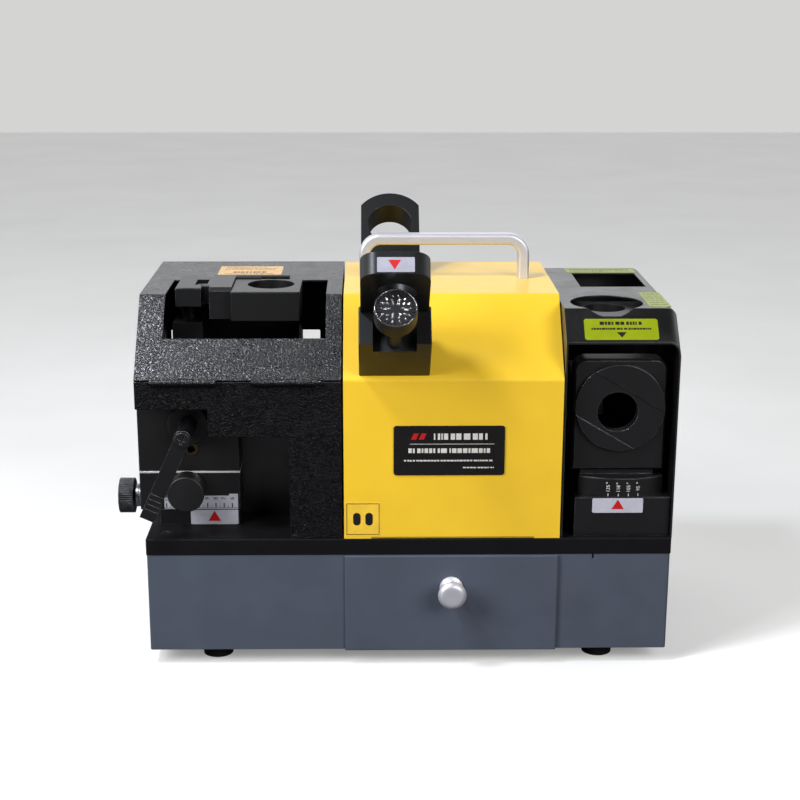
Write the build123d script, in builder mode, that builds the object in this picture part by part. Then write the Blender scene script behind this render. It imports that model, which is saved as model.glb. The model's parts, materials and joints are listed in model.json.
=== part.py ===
from build123d import *
from math import atan2, cos, radians, sin, tan
import os

# Combined screw-tap and drill-bit grinder, millimetres.
# Origin: centre of the footprint, on the table. +X right, +Y towards the back, +Z up.

# ---------------------------------------------------------------- driving dimensions
base_width = 380.0
base_depth = 186.0
foot_height = 12.0
foot_radius = 12.0
foot_x = 142.0
foot_y = 69.0
box_height = 74.0
plate_thickness = 12.0
sheet = 1.5
thin_sheet = 1.2
run_clearance = 0.05

front = -base_depth / 2
back = base_depth / 2
box_low = foot_height
box_top = box_low + box_height
deck = box_top + plate_thickness

cover_front = front + 0.5
cover_back = back - 5.0
cover_top = 268.3
slope_foot = 216.0
slope_head = -45.8

yellow_left = -46.8
yellow_right = 108.8
tap_left = -193.5
tap_right = -48.0
drill_left = 109.5
drill_right = 190.0
drill_top = 263.0
drill_bevel = 20.0
drill_back = 85.5

motor_y = 10.0
motor_z = 165.0
motor_radius = 52.0
shaft_radius = 6.0
wheel_radius = 39.0
shaft_opening = 17.0

drawer_x = 30.75
drawer_face_width = 154.5
tray_width = 144.5
tray_height = 57.0
tray_length = 161.0
tray_floor = 19.0
knob_z = 61.0

# The inclined panel of the covers: local x is X, local y runs up the slope, z stands off it.
slope = Plane(
    origin=(0, cover_front, slope_foot),
    x_dir=(1, 0, 0),
    z_dir=(0, slope_foot - cover_top, slope_head - cover_front),
)

# Tap carriage, on the left of the deck.
tap_face = -60.0
tap_base_left = -183.0
tap_slide_left = -197.3
tap_slide_right = -123.5
tap_base_top = deck + 11.5
tap_slide_low = tap_base_top + run_clearance
tap_slide_top = 137.8
strip_top = 139.3
tap_head_top = 192.0
hub_x = -159.6
hub_z = 176.0
column_x = -161.5
column_y = -12.0
column_radius = 8.0
crank_throw = 6.0
crank_pin_radius = 2.5
feed_y = -44.0
feed_z = 115.5
feed_radius = 4.0
lock_x = -162.0
lock_z = 126.0
holder_top = 272.0
holder_bore_radius = 17.0
holder_bore_x = -100.0
holder_bore_y = -27.4
hinge_y = -95.2
hinge_z = 215.0
knuckle_radius = 2.5
hinge_pin_radius = 1.25
hinge_centres = (-159.0, -87.5)
hinge_length = 46.5

# Drill station, on the right of the deck.
swivel_x = 150.5
swivel_y = -45.0
sector_radius = 60.0
sector_reach = 43.0
sector_shift = 2.5
seat_z = 192.8
seat_disc_radius = 32.2
chuck_radius = 14.5

# Setting gauge on the yellow slope and the chuck ring behind the handle.
gauge_x = -10.8
gauge_knob_height = 12.2
gauge_bore_radius = 14.0
gauge_bore_rise = 70.0
ring_x = -12.0
ring_centre = (ring_x, 50.0, 304.5)
ring_bore_radius = 17.0
ring_thickness = 24.0

os.makedirs("parts", exist_ok=True)


# ---------------------------------------------------------------- base
box_half_x = base_width / 2 - 0.4
box_half_y = base_depth / 2 - 0.4
corner_screw_x = base_width / 2 - 13.0
corner_screw_y = base_depth / 2 - 16.0
screw_radius = 2.5
drawer_opening_low = 17.0
drawer_opening_high = 82.0
switch_x = -150.0
inlet_x = -100.0
rear_fittings_z = 50.0
capacitor_x = -120.0
capacitor_y = 20.0


with BuildPart() as rubber_feet:
    with BuildSketch(Plane.XY.offset(foot_height)):
        with GridLocations(2 * foot_x, 2 * foot_y, 2, 2):
            Circle(foot_radius)
    extrude(amount=-foot_height, taper=5)
    with BuildSketch(Plane.XY):
        with GridLocations(2 * foot_x, 2 * foot_y, 2, 2):
            Circle(5.6)
    extrude(amount=7.0, mode=Mode.SUBTRACT)
    with BuildSketch(Plane.XY):
        with GridLocations(2 * foot_x, 2 * foot_y, 2, 2):
            Circle(screw_radius + 0.1)
    extrude(amount=foot_height, mode=Mode.SUBTRACT)
rubber_feet.part.label = "rubber_feet"
export_step(rubber_feet.part, "parts/rubber_feet.step")

with BuildPart() as foot_screws:
    with BuildSketch(Plane.XY.offset(3.4)):
        with GridLocations(2 * foot_x, 2 * foot_y, 2, 2):
            Circle(5.0)
    extrude(amount=3.6)
    with BuildSketch(Plane.XY.offset(7.0)):
        with GridLocations(2 * foot_x, 2 * foot_y, 2, 2):
            Circle(screw_radius)
    extrude(amount=11.0)
foot_screws.part.label = "foot_screws"
export_step(foot_screws.part, "parts/foot_screws.step")

with BuildPart() as base_box:
    with BuildSketch(Plane.XY.offset(box_low)):
        Rectangle(2 * box_half_x, 2 * box_half_y)
    extrude(amount=box_height)
    fillet(base_box.edges().filter_by(Axis.Z), radius=2.0)
    offset(amount=-sheet, openings=base_box.faces().sort_by(Axis.Z)[-1])
    # corner posts that take the deck screws, and weld nuts for the feet
    with BuildSketch(Plane.XY.offset(box_low + sheet)):
        with GridLocations(2 * corner_screw_x, 2 * corner_screw_y, 2, 2):
            Rectangle(14, 14)
    extrude(amount=box_height - sheet)
    with BuildSketch(Plane.XY.offset(box_low + sheet)):
        with GridLocations(2 * foot_x, 2 * foot_y, 2, 2):
            Circle(6.0)
    extrude(amount=5.0)
    with BuildSketch(Plane.XY.offset(box_low)):
        with GridLocations(2 * foot_x, 2 * foot_y, 2, 2):
            Circle(screw_radius + run_clearance)
        with Locations((capacitor_x, capacitor_y)):
            Circle(4.1)
    extrude(amount=8.0, mode=Mode.SUBTRACT)
    with BuildSketch(Plane.XY.offset(box_top)):
        with GridLocations(2 * corner_screw_x, 2 * corner_screw_y, 2, 2):
            Circle(screw_radius + run_clearance)
    extrude(amount=-20.0, mode=Mode.SUBTRACT)
    # drawer opening, and the relief slit beside it
    with BuildSketch(Plane.XZ.offset(box_half_y + 1)):
        with Locations((drawer_x, (drawer_opening_low + drawer_opening_high) / 2)):
            Rectangle(tray_width + 4, drawer_opening_high - drawer_opening_low)
        with Locations((133.4, box_top - 1)):
            Rectangle(1.2, 6.0)
    extrude(amount=-5.0, mode=Mode.SUBTRACT)
    # cut-outs for the switch and the power inlet
    with BuildSketch(Plane.XZ.offset(-box_half_y - 1)):
        with Locations((switch_x, rear_fittings_z)):
            Rectangle(19.0, 28.5)
        with Locations((inlet_x, rear_fittings_z)):
            Rectangle(27.5, 20.0)
    extrude(amount=5.0, mode=Mode.SUBTRACT)
base_box.part.label = "base_box"
export_step(base_box.part, "parts/base_box.step")

# Screws from below hold each cover by its inner flanges; the motor cradle is bolted from above.
cover_screw_points = (
    (yellow_left + 12, 79.0),
    (yellow_right - 12, 79.0),
    (yellow_left + 12, -83.0),
    (yellow_right - 12, -83.0),
    (tap_left + 44, 79.0),
    (tap_right - 12, 79.0),
    (tap_right - 16, -83.0),
    (drill_left + 12, 76.5),
    (drill_right - 42, 76.5),
)
flange_depth = 16.0
cradle_x = (-10.0, 72.0)
cradle_bolts = ((-3.0, -36.0), (65.0, -36.0), (-3.0, 56.0), (65.0, 56.0))

with BuildPart() as base_plate:
    with BuildSketch(Plane.XY.offset(box_top)):
        Rectangle(base_width, base_depth)
    extrude(amount=plate_thickness)
    fillet(base_plate.edges().filter_by(Axis.Z), radius=1.5)
    chamfer(base_plate.edges().group_by(Axis.Z)[-1], length=0.6)
    with Locations(Plane.XY.offset(deck)):
        with GridLocations(2 * corner_screw_x, 2 * corner_screw_y, 2, 2):
            CounterBoreHole(screw_radius + 0.2, 4.6, 5.4)
    with BuildSketch(Plane.XY.offset(box_top)):
        with Locations(*cover_screw_points):
            Circle(2.1)
        with Locations(*cradle_bolts):
            Circle(screw_radius + run_clearance)
    extrude(amount=plate_thickness, mode=Mode.SUBTRACT)
base_plate.part.label = "base_plate"
export_step(base_plate.part, "parts/base_plate.step")

with BuildPart() as plate_screws:
    with BuildSketch(Plane.XY.offset(deck - 5.4)):
        with GridLocations(2 * corner_screw_x, 2 * corner_screw_y, 2, 2):
            Circle(4.25)
    extrude(amount=5.0)
    with BuildSketch(Plane.XY.offset(deck - 0.4)):
        with GridLocations(2 * corner_screw_x, 2 * corner_screw_y, 2, 2):
            RegularPolygon(2.3, 6)
    extrude(amount=-2.6, mode=Mode.SUBTRACT)
    with BuildSketch(Plane.XY.offset(deck - 5.4)):
        with GridLocations(2 * corner_screw_x, 2 * corner_screw_y, 2, 2):
            Circle(screw_radius)
    extrude(amount=-16.0)
plate_screws.part.label = "plate_screws"
export_step(plate_screws.part, "parts/plate_screws.step")


# ---------------------------------------------------------------- drawer
tray_left = drawer_x - tray_width / 2
tray_right = drawer_x + tray_width / 2
tray_front = -box_half_y - 0.3

with BuildPart() as drawer_tray:
    with BuildSketch(Plane.XY.offset(tray_floor)):
        with Locations((drawer_x, tray_front + tray_length / 2)):
            Rectangle(tray_width, tray_length)
    extrude(amount=tray_height)
    fillet(drawer_tray.edges().filter_by(Axis.Z), radius=2.0)
    offset(amount=-thin_sheet, openings=drawer_tray.faces().sort_by(Axis.Z)[-1])
    with BuildSketch(Plane.XZ.offset(-tray_front + 1)):
        with Locations((drawer_x, knob_z)):
            Circle(2.05)
    extrude(amount=-4.0, mode=Mode.SUBTRACT)
drawer_tray.part.label = "drawer_tray"
export_step(drawer_tray.part, "parts/drawer_tray.step")

with BuildPart() as drawer_guides:
    with BuildSketch(Plane.XZ.offset(box_half_y - sheet - 0.3)) as guide_profile:
        with BuildLine():
            Polyline(
                (tray_left - 12, box_low + sheet),
                (tray_left + 12, box_low + sheet),
                (tray_left + 12, tray_floor - 0.1),
                (tray_left - 0.2, tray_floor - 0.1),
                (tray_left - 0.2, tray_floor + 30),
                (tray_left - 3.0, tray_floor + 30),
                (tray_left - 3.0, box_low + 5),
                (tray_left - 12, box_low + 5),
                close=True,
            )
        make_face()
        mirror(about=Plane.YZ.offset(drawer_x))
    extrude(amount=-(base_depth - 14))
drawer_guides.part.label = "drawer_guides"
export_step(drawer_guides.part, "parts/drawer_guides.step")

drawer_face_low = box_low - 0.4
drawer_face_high = box_top - 0.5
drawer_face_thickness = 2.0

with BuildPart() as drawer_front:
    with BuildSketch(Plane.XZ.offset(-tray_front)):
        with Locations((drawer_x, (drawer_face_low + drawer_face_high) / 2)):
            Rectangle(drawer_face_width, drawer_face_high - drawer_face_low)
    extrude(amount=drawer_face_thickness)
    fillet(drawer_front.edges().group_by(Axis.Y)[0], radius=0.8)
    with BuildSketch(Plane.XZ.offset(-tray_front)):
        with Locations((drawer_x, knob_z)):
            Circle(2.05)
    extrude(amount=drawer_face_thickness, mode=Mode.SUBTRACT)
drawer_front.part.label = "drawer_front"
export_step(drawer_front.part, "parts/drawer_front.step")

knob_seat = tray_front - drawer_face_thickness

with BuildPart() as drawer_knob:
    with BuildSketch(Plane.YZ.offset(drawer_x)):
        with BuildLine():
            Line((knob_seat, knob_z), (knob_seat, knob_z + 8.5))
            Line((knob_seat, knob_z + 8.5), (knob_seat - 1.5, knob_z + 8.5))
            Spline(
                (knob_seat - 1.5, knob_z + 8.5),
                (knob_seat - 6.5, knob_z + 5.0),
                (knob_seat - 12.0, knob_z + 8.6),
                (knob_seat - 15.0, knob_z + 10.25),
            )
            Spline(
                (knob_seat - 15.0, knob_z + 10.25),
                (knob_seat - 17.4, knob_z + 9.3),
                (knob_seat - 19.0, knob_z),
                tangents=((-1, 0.2), (0, -1)),
            )
            Line((knob_seat - 19.0, knob_z), (knob_seat, knob_z))
        make_face()
    revolve(axis=Axis((drawer_x, 0, knob_z), (0, 1, 0)))
    with BuildSketch(Plane.XZ.offset(-knob_seat)):
        with Locations((drawer_x, knob_z)):
            Circle(2.05)
    extrude(amount=9.0, mode=Mode.SUBTRACT)
drawer_knob.part.label = "drawer_knob"
export_step(drawer_knob.part, "parts/drawer_knob.step")

with BuildPart() as knob_screw:
    with BuildSketch(Plane.XZ.offset(-tray_front - thin_sheet)):
        with Locations((drawer_x, knob_z)):
            Circle(4.0)
    extrude(amount=-2.4)
    fillet(knob_screw.edges().group_by(Axis.Y)[-1], radius=1.0)
    with BuildSketch(Plane.XZ.offset(-tray_front - thin_sheet)):
        with Locations((drawer_x, knob_z)):
            Circle(2.0)
    extrude(amount=11.0)
knob_screw.part.label = "knob_screw"
export_step(knob_screw.part, "parts/knob_screw.step")


# ---------------------------------------------------------------- electrics
rear_face = box_half_y

rocker_y = rear_face - 1.0
rocker_pivot_radius = 1.2

with BuildPart() as switch_frame:
    with BuildSketch(Plane.XZ.offset(-rear_face)):
        with Locations((switch_x, rear_fittings_z)):
            RectangleRounded(23.0, 32.0, 1.5)
    extrude(amount=-2.0)
    with BuildSketch(Plane.XZ.offset(-rear_face)):
        with Locations((switch_x, rear_fittings_z)):
            Rectangle(18.8, 28.2)
    extrude(amount=18.0)
    with BuildSketch(Plane.XZ.offset(-rear_face - 2.0)):
        with Locations((switch_x, rear_fittings_z)):
            Rectangle(14.0, 22.0)
    extrude(amount=16.0, mode=Mode.SUBTRACT)
    with BuildSketch(Plane.YZ.offset(switch_x - 8.4)):
        with Locations((rocker_y, rear_fittings_z)):
            Circle(rocker_pivot_radius + run_clearance)
    extrude(amount=16.8, mode=Mode.SUBTRACT)
switch_frame.part.label = "switch_frame"
export_step(switch_frame.part, "parts/switch_frame.step")

with BuildPart() as power_rocker:
    with BuildSketch(Plane.YZ.offset(switch_x - 6.8)):
        with BuildLine():
            Polyline(
                (rear_face + 2.0, rear_fittings_z - 9.6),
                (rear_face + 4.6, rear_fittings_z + 9.6),
                (rear_face - 4.0, rear_fittings_z + 8.0),
                (rear_face - 9.0, rear_fittings_z),
                (rear_face - 4.0, rear_fittings_z - 8.0),
                close=True,
            )
        make_face()
    extrude(amount=13.6)
    # pivot stubs at both sides
    with BuildSketch(Plane.YZ.offset(switch_x - 8.2)):
        with Locations((rocker_y, rear_fittings_z)):
            Circle(rocker_pivot_radius)
    extrude(amount=16.4)
power_rocker.part.label = "power_rocker"
export_step(power_rocker.part, "parts/power_rocker.step")

with BuildPart() as power_inlet:
    with BuildSketch(Plane.XZ.offset(-rear_face)):
        with Locations((inlet_x, rear_fittings_z)):
            RectangleRounded(31.0, 24.0, 2.0)
    extrude(amount=-2.0)
    with BuildSketch(Plane.XZ.offset(-rear_face)):
        with Locations((inlet_x, rear_fittings_z)):
            Rectangle(27.2, 19.8)
    extrude(amount=20.0)
    with BuildSketch(Plane.XZ.offset(-rear_face - 2.0)):
        with Locations((inlet_x, rear_fittings_z)):
            RectangleRounded(24.0, 16.5, 2.5)
    extrude(amount=16.0, mode=Mode.SUBTRACT)
    with BuildSketch(Plane.XZ.offset(-rear_face + 14.0)):
        with Locations(
            (inlet_x - 7, rear_fittings_z - 1.5),
            (inlet_x, rear_fittings_z + 2.5),
            (inlet_x + 7, rear_fittings_z - 1.5),
        ):
            Rectangle(2.0, 4.0)
    extrude(amount=-12.0)
power_inlet.part.label = "power_inlet"
export_step(power_inlet.part, "parts/power_inlet.step")

with BuildPart() as run_capacitor:
    with BuildSketch(Plane((capacitor_x, capacitor_y, box_low + sheet))):
        Circle(20.0)
    extrude(amount=58.0)
    fillet(run_capacitor.edges().filter_by(GeomType.CIRCLE), radius=2.0)
    with BuildSketch(Plane((capacitor_x, capacitor_y, box_low + sheet))):
        Circle(4.0)
    extrude(amount=-sheet)
    with BuildSketch(Plane((capacitor_x, capacitor_y, box_low + sheet + 58.0))):
        with GridLocations(14, 0, 2, 1):
            Rectangle(0.8, 6.0)
    extrude(amount=8.0)
run_capacitor.part.label = "run_capacitor"
export_step(run_capacitor.part, "parts/run_capacitor.step")


# ---------------------------------------------------------------- motor
housing_left = -26.0
housing_right = 88.0
bell_thickness = 8.0
housing_bore = 46.0
bearing_outer = 16.0
bearing_width = 10.0
motor_axis = Axis((0, motor_y, motor_z), (1, 0, 0))

with BuildPart() as motor_cradle:
    with BuildSketch(Plane.YZ.offset(cradle_x[0])):
        with Locations((motor_y, deck + 16)):
            Rectangle(76, 32)
        with Locations((motor_y, deck + 4)):
            Rectangle(106, 8)
        with Locations((motor_y, motor_z)):
            Circle(motor_radius, mode=Mode.SUBTRACT)
    extrude(amount=cradle_x[1] - cradle_x[0])
    with BuildSketch(Plane.XY.offset(deck)):
        with Locations(*cradle_bolts):
            Circle(screw_radius + run_clearance)
    extrude(amount=8.0, mode=Mode.SUBTRACT)
motor_cradle.part.label = "motor_cradle"
export_step(motor_cradle.part, "parts/motor_cradle.step")

with BuildPart() as cradle_screws:
    with BuildSketch(Plane.XY.offset(deck + 8)):
        with Locations(*cradle_bolts):
            RegularPolygon(4.6, 6)
    extrude(amount=3.5)
    with BuildSketch(Plane.XY.offset(deck + 8)):
        with Locations(*cradle_bolts):
            Circle(screw_radius)
    extrude(amount=-20.0)
cradle_screws.part.label = "cradle_screws"
export_step(cradle_screws.part, "parts/cradle_screws.step")

with BuildPart() as motor_housing:
    with BuildSketch(Plane.YZ.offset(housing_left)):
        with Locations((motor_y, motor_z)):
            Circle(motor_radius)
            Circle(housing_bore, mode=Mode.SUBTRACT)
    extrude(amount=housing_right - housing_left)
    # cooling fins on the upper half
    with BuildSketch(Plane.YZ.offset(housing_left + 4)):
        with Locations((motor_y, motor_z)):
            with PolarLocations(motor_radius + 1.5, 13, start_angle=0, angular_range=180):
                Rectangle(6.0, 2.0)
    extrude(amount=housing_right - housing_left - 8)
motor_housing.part.label = "motor_housing"
export_step(motor_housing.part, "parts/motor_housing.step")

with BuildPart() as stator_core:
    with BuildSketch(Plane.YZ.offset(5.0)):
        with Locations((motor_y, motor_z)):
            Circle(housing_bore)
            Circle(26.0, mode=Mode.SUBTRACT)
            with PolarLocations(33.0, 24):
                Rectangle(11.0, 3.2, mode=Mode.SUBTRACT)
    extrude(amount=52.0)
stator_core.part.label = "stator_core"
export_step(stator_core.part, "parts/stator_core.step")

with BuildPart() as motor_end_bells:
    with BuildSketch(Plane.YZ.offset(housing_left)):
        with Locations((motor_y, motor_z)):
            Circle(motor_radius)
    extrude(amount=-bell_thickness)
    with BuildSketch(Plane.YZ.offset(housing_left)):
        with Locations((motor_y, motor_z)):
            Circle(housing_bore)
            Circle(housing_bore - 5, mode=Mode.SUBTRACT)
            Circle(22.0)
    extrude(amount=6.0)
    with BuildSketch(Plane.YZ.offset(housing_left + 6)):
        with Locations((motor_y, motor_z)):
            Circle(bearing_outer)
    extrude(amount=-bearing_width, mode=Mode.SUBTRACT)
    with BuildSketch(Plane.YZ.offset(housing_left - bell_thickness)):
        with Locations((motor_y, motor_z)):
            Circle(9.0)
            with PolarLocations(34.0, 6):
                SlotOverall(18.0, 7.0, rotation=90)
    extrude(amount=bell_thickness + 6, mode=Mode.SUBTRACT)
    mirror(about=Plane.YZ.offset((housing_left + housing_right) / 2))
motor_end_bells.part.label = "motor_end_bells"
export_step(motor_end_bells.part, "parts/motor_end_bells.step")

with BuildPart() as motor_bearings:
    with BuildSketch(Plane.YZ.offset(housing_left + 6)):
        with Locations((motor_y, motor_z)):
            Circle(bearing_outer)
            Circle(shaft_radius + 1 + run_clearance, mode=Mode.SUBTRACT)
    extrude(amount=-bearing_width)
    mirror(about=Plane.YZ.offset((housing_left + housing_right) / 2))
motor_bearings.part.label = "motor_bearings"
export_step(motor_bearings.part, "parts/motor_bearings.step")

tap_wheel_left = -104.0
tap_wheel_thickness = 8.0
drill_wheel_left = 124.0
flange_radius = 17.0
flange_thickness = 4.0
nut_thickness = 6.0
wheel_seat_right = drill_wheel_left
wheel_seat_left = tap_wheel_left + tap_wheel_thickness

with BuildPart() as motor_shaft:
    with BuildSketch(Plane.XZ.offset(-motor_y)):
        with BuildLine():
            Polyline(
                (tap_wheel_left - 14, motor_z),
                (tap_wheel_left - 14, motor_z + shaft_radius - 0.6),
                (tap_wheel_left - 13.4, motor_z + shaft_radius),
                (wheel_seat_left, motor_z + shaft_radius),
                (wheel_seat_left, motor_z + shaft_radius + 5),
                (wheel_seat_left + 4, motor_z + shaft_radius + 5),
                (wheel_seat_left + 4, motor_z + shaft_radius + 1),
                (wheel_seat_right - 4, motor_z + shaft_radius + 1),
                (wheel_seat_right - 4, motor_z + shaft_radius + 5),
                (wheel_seat_right, motor_z + shaft_radius + 5),
                (wheel_seat_right, motor_z + shaft_radius),
                (wheel_seat_right + 27.4, motor_z + shaft_radius),
                (wheel_seat_right + 28, motor_z + shaft_radius - 0.6),
                (wheel_seat_right + 28, motor_z),
                close=True,
            )
        make_face()
    revolve(axis=motor_axis)
motor_shaft.part.label = "motor_shaft"
export_step(motor_shaft.part, "parts/motor_shaft.step")

with BuildPart() as rotor_core:
    with BuildSketch(Plane.YZ.offset(3.0)):
        with Locations((motor_y, motor_z)):
            Circle(25.5)
            Circle(shaft_radius + 1, mode=Mode.SUBTRACT)
    extrude(amount=56.0)
rotor_core.part.label = "rotor_core"
export_step(rotor_core.part, "parts/rotor_core.step")

with BuildPart() as tap_wheel:
    with BuildSketch(Plane.YZ.offset(tap_wheel_left)):
        with Locations((motor_y, motor_z)):
            Circle(wheel_radius)
            Circle(shaft_radius, mode=Mode.SUBTRACT)
    extrude(amount=tap_wheel_thickness)
    chamfer(tap_wheel.edges().filter_by(GeomType.CIRCLE).group_by(SortBy.RADIUS)[-1], length=1.0)
tap_wheel.part.label = "tap_wheel"
export_step(tap_wheel.part, "parts/tap_wheel.step")

with BuildPart() as drill_wheel:
    with BuildSketch(Plane.XZ.offset(-motor_y)):
        with BuildLine():
            Polyline(
                (drill_wheel_left, motor_z + shaft_radius),
                (drill_wheel_left, motor_z + wheel_radius - 1),
                (drill_wheel_left + 1, motor_z + wheel_radius),
                (drill_wheel_left + 7, motor_z + wheel_radius),
                (drill_wheel_left + 17.2, motor_z + flange_radius + 5),
                (drill_wheel_left + 17.2, motor_z + shaft_radius),
                close=True,
            )
        make_face()
    revolve(axis=motor_axis)
drill_wheel.part.label = "drill_wheel"
export_step(drill_wheel.part, "parts/drill_wheel.step")

drill_flange_left = drill_wheel_left + 17.2

with BuildPart() as wheel_flanges:
    with BuildSketch(Plane.YZ.offset(tap_wheel_left)):
        with Locations((motor_y, motor_z)):
            Circle(flange_radius)
            Circle(shaft_radius, mode=Mode.SUBTRACT)
    extrude(amount=-flange_thickness)
    with BuildSketch(Plane.YZ.offset(drill_flange_left)):
        with Locations((motor_y, motor_z)):
            Circle(flange_radius)
            Circle(shaft_radius, mode=Mode.SUBTRACT)
    extrude(amount=flange_thickness)
wheel_flanges.part.label = "wheel_flanges"
export_step(wheel_flanges.part, "parts/wheel_flanges.step")

with BuildPart() as wheel_nuts:
    with BuildSketch(Plane.YZ.offset(tap_wheel_left - flange_thickness)):
        with Locations((motor_y, motor_z)):
            RegularPolygon(10.5, 6)
            Circle(shaft_radius, mode=Mode.SUBTRACT)
    extrude(amount=-nut_thickness)
    with BuildSketch(Plane.YZ.offset(drill_flange_left + flange_thickness)):
        with Locations((motor_y, motor_z)):
            RegularPolygon(10.5, 6)
            Circle(shaft_radius, mode=Mode.SUBTRACT)
    extrude(amount=nut_thickness)
wheel_nuts.part.label = "wheel_nuts"
export_step(wheel_nuts.part, "parts/wheel_nuts.step")


# ---------------------------------------------------------------- yellow motor cover
handle_left = -31.5
handle_span = 120.0
handle_y = 17.0
handle_rise = 29.8
handle_bend = 12.0
handle_depth = 11.6
handle_width = 8.4
name_plate_size = (79.0, 36.5)
name_plate_centre = (28.2, 164.5)

with BuildPart() as motor_cover:
    with BuildSketch(Plane.YZ.offset(yellow_left)):
        with BuildLine():
            Polyline(
                (cover_front, deck),
                (cover_front, slope_foot),
                (slope_head, cover_top),
                (cover_back, cover_top),
                (cover_back, deck),
                close=True,
            )
        make_face()
    extrude(amount=yellow_right - yellow_left)
    bends = motor_cover.edges().filter_by(Axis.X).filter_by(lambda e: e.center().Z > deck + 1)
    fillet(bends, radius=3.5)
    offset(amount=-sheet, openings=motor_cover.faces().sort_by(Axis.Z)[0])
    # foot flanges turned inwards
    with BuildSketch(Plane.XY.offset(deck)):
        for y in (cover_front + flange_depth / 2, cover_back - flange_depth / 2):
            with Locations(((yellow_left + yellow_right) / 2, y)):
                Rectangle(yellow_right - yellow_left, flange_depth)
    extrude(amount=3.0)
    with BuildSketch(Plane.XY.offset(deck)):
        with Locations(*cover_screw_points[0:4]):
            Circle(2.0)
    extrude(amount=3.0, mode=Mode.SUBTRACT)
    # the shaft leaves through both sides
    with BuildSketch(Plane.YZ.offset(yellow_left - 1)):
        with Locations((motor_y, motor_z)):
            Circle(shaft_opening)
    extrude(amount=yellow_right - yellow_left + 2, mode=Mode.SUBTRACT)
    # handle screw holes, and the raised lower edge between the two corner tabs
    with BuildSketch(Plane.XY.offset(cover_top)):
        with Locations((handle_left, handle_y), (handle_left + handle_span, handle_y)):
            Circle(2.05)
    extrude(amount=-4.0, mode=Mode.SUBTRACT)
    with BuildSketch(Plane.XZ.offset(-cover_front + 1)):
        with Locations((31.5, deck)):
            Rectangle(117.0, 2.4)
    extrude(amount=-2.0, mode=Mode.SUBTRACT)
motor_cover.part.label = "motor_cover"
export_step(motor_cover.part, "parts/motor_cover.step")

with BuildPart() as carry_handle:
    with BuildLine(Plane.XZ.offset(-handle_y)) as handle_path:
        FilletPolyline(
            (handle_left, cover_top),
            (handle_left, cover_top + handle_rise),
            (handle_left + handle_span, cover_top + handle_rise),
            (handle_left + handle_span, cover_top),
            radius=handle_bend,
        )
    with BuildSketch(Plane((handle_left, handle_y, cover_top))):
        RectangleRounded(handle_width, handle_depth, 2.5)
    sweep(path=handle_path.wires()[0])
    with BuildSketch(Plane.XY.offset(cover_top)):
        with Locations((handle_left, handle_y), (handle_left + handle_span, handle_y)):
            Circle(2.05)
    extrude(amount=10.0, mode=Mode.SUBTRACT)
carry_handle.part.label = "carry_handle"
export_step(carry_handle.part, "parts/carry_handle.step")

with BuildPart() as m4_screws:
    with BuildSketch(Plane.XY.offset(box_top)):
        with Locations(*cover_screw_points):
            Circle(3.8)
    extrude(amount=-2.4)
    with BuildSketch(Plane.XY.offset(box_top)):
        with Locations(*cover_screw_points):
            Circle(2.0)
    extrude(amount=plate_thickness + 3.0)
    # the two that hold the handle, from inside the yellow cover
    with BuildSketch(Plane.XY.offset(cover_top - sheet)):
        with Locations((handle_left, handle_y), (handle_left + handle_span, handle_y)):
            Circle(3.8)
    extrude(amount=-2.4)
    with BuildSketch(Plane.XY.offset(cover_top - sheet)):
        with Locations((handle_left, handle_y), (handle_left + handle_span, handle_y)):
            Circle(2.0)
    extrude(amount=10.5)
m4_screws.part.label = "m4_screws"
export_step(m4_screws.part, "parts/m4_screws.step")

with BuildPart() as name_plate:
    with BuildSketch(Plane.XZ.offset(-cover_front)):
        with Locations(name_plate_centre):
            RectangleRounded(name_plate_size[0], name_plate_size[1], 2.0)
    extrude(amount=0.8)
name_plate.part.label = "name_plate"
export_step(name_plate.part, "parts/name_plate.step")


# ---------------------------------------------------------------- tap side covers
tap_width = tap_right - tap_left
side_opening_y = -15.0
apron_high = 214.7
apron_left_low = 195.0
apron_step_x = -142.5
apron_low = 174.5
leg_x = -85.5
lid_inner = cover_top - sheet
window_x = (-175.0, -59.4)
window_foot = 33.6
window_back = 8.0
rear_opening_x = (-189.0, -68.2)
rear_opening_z = (120.0, 212.5)

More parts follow.
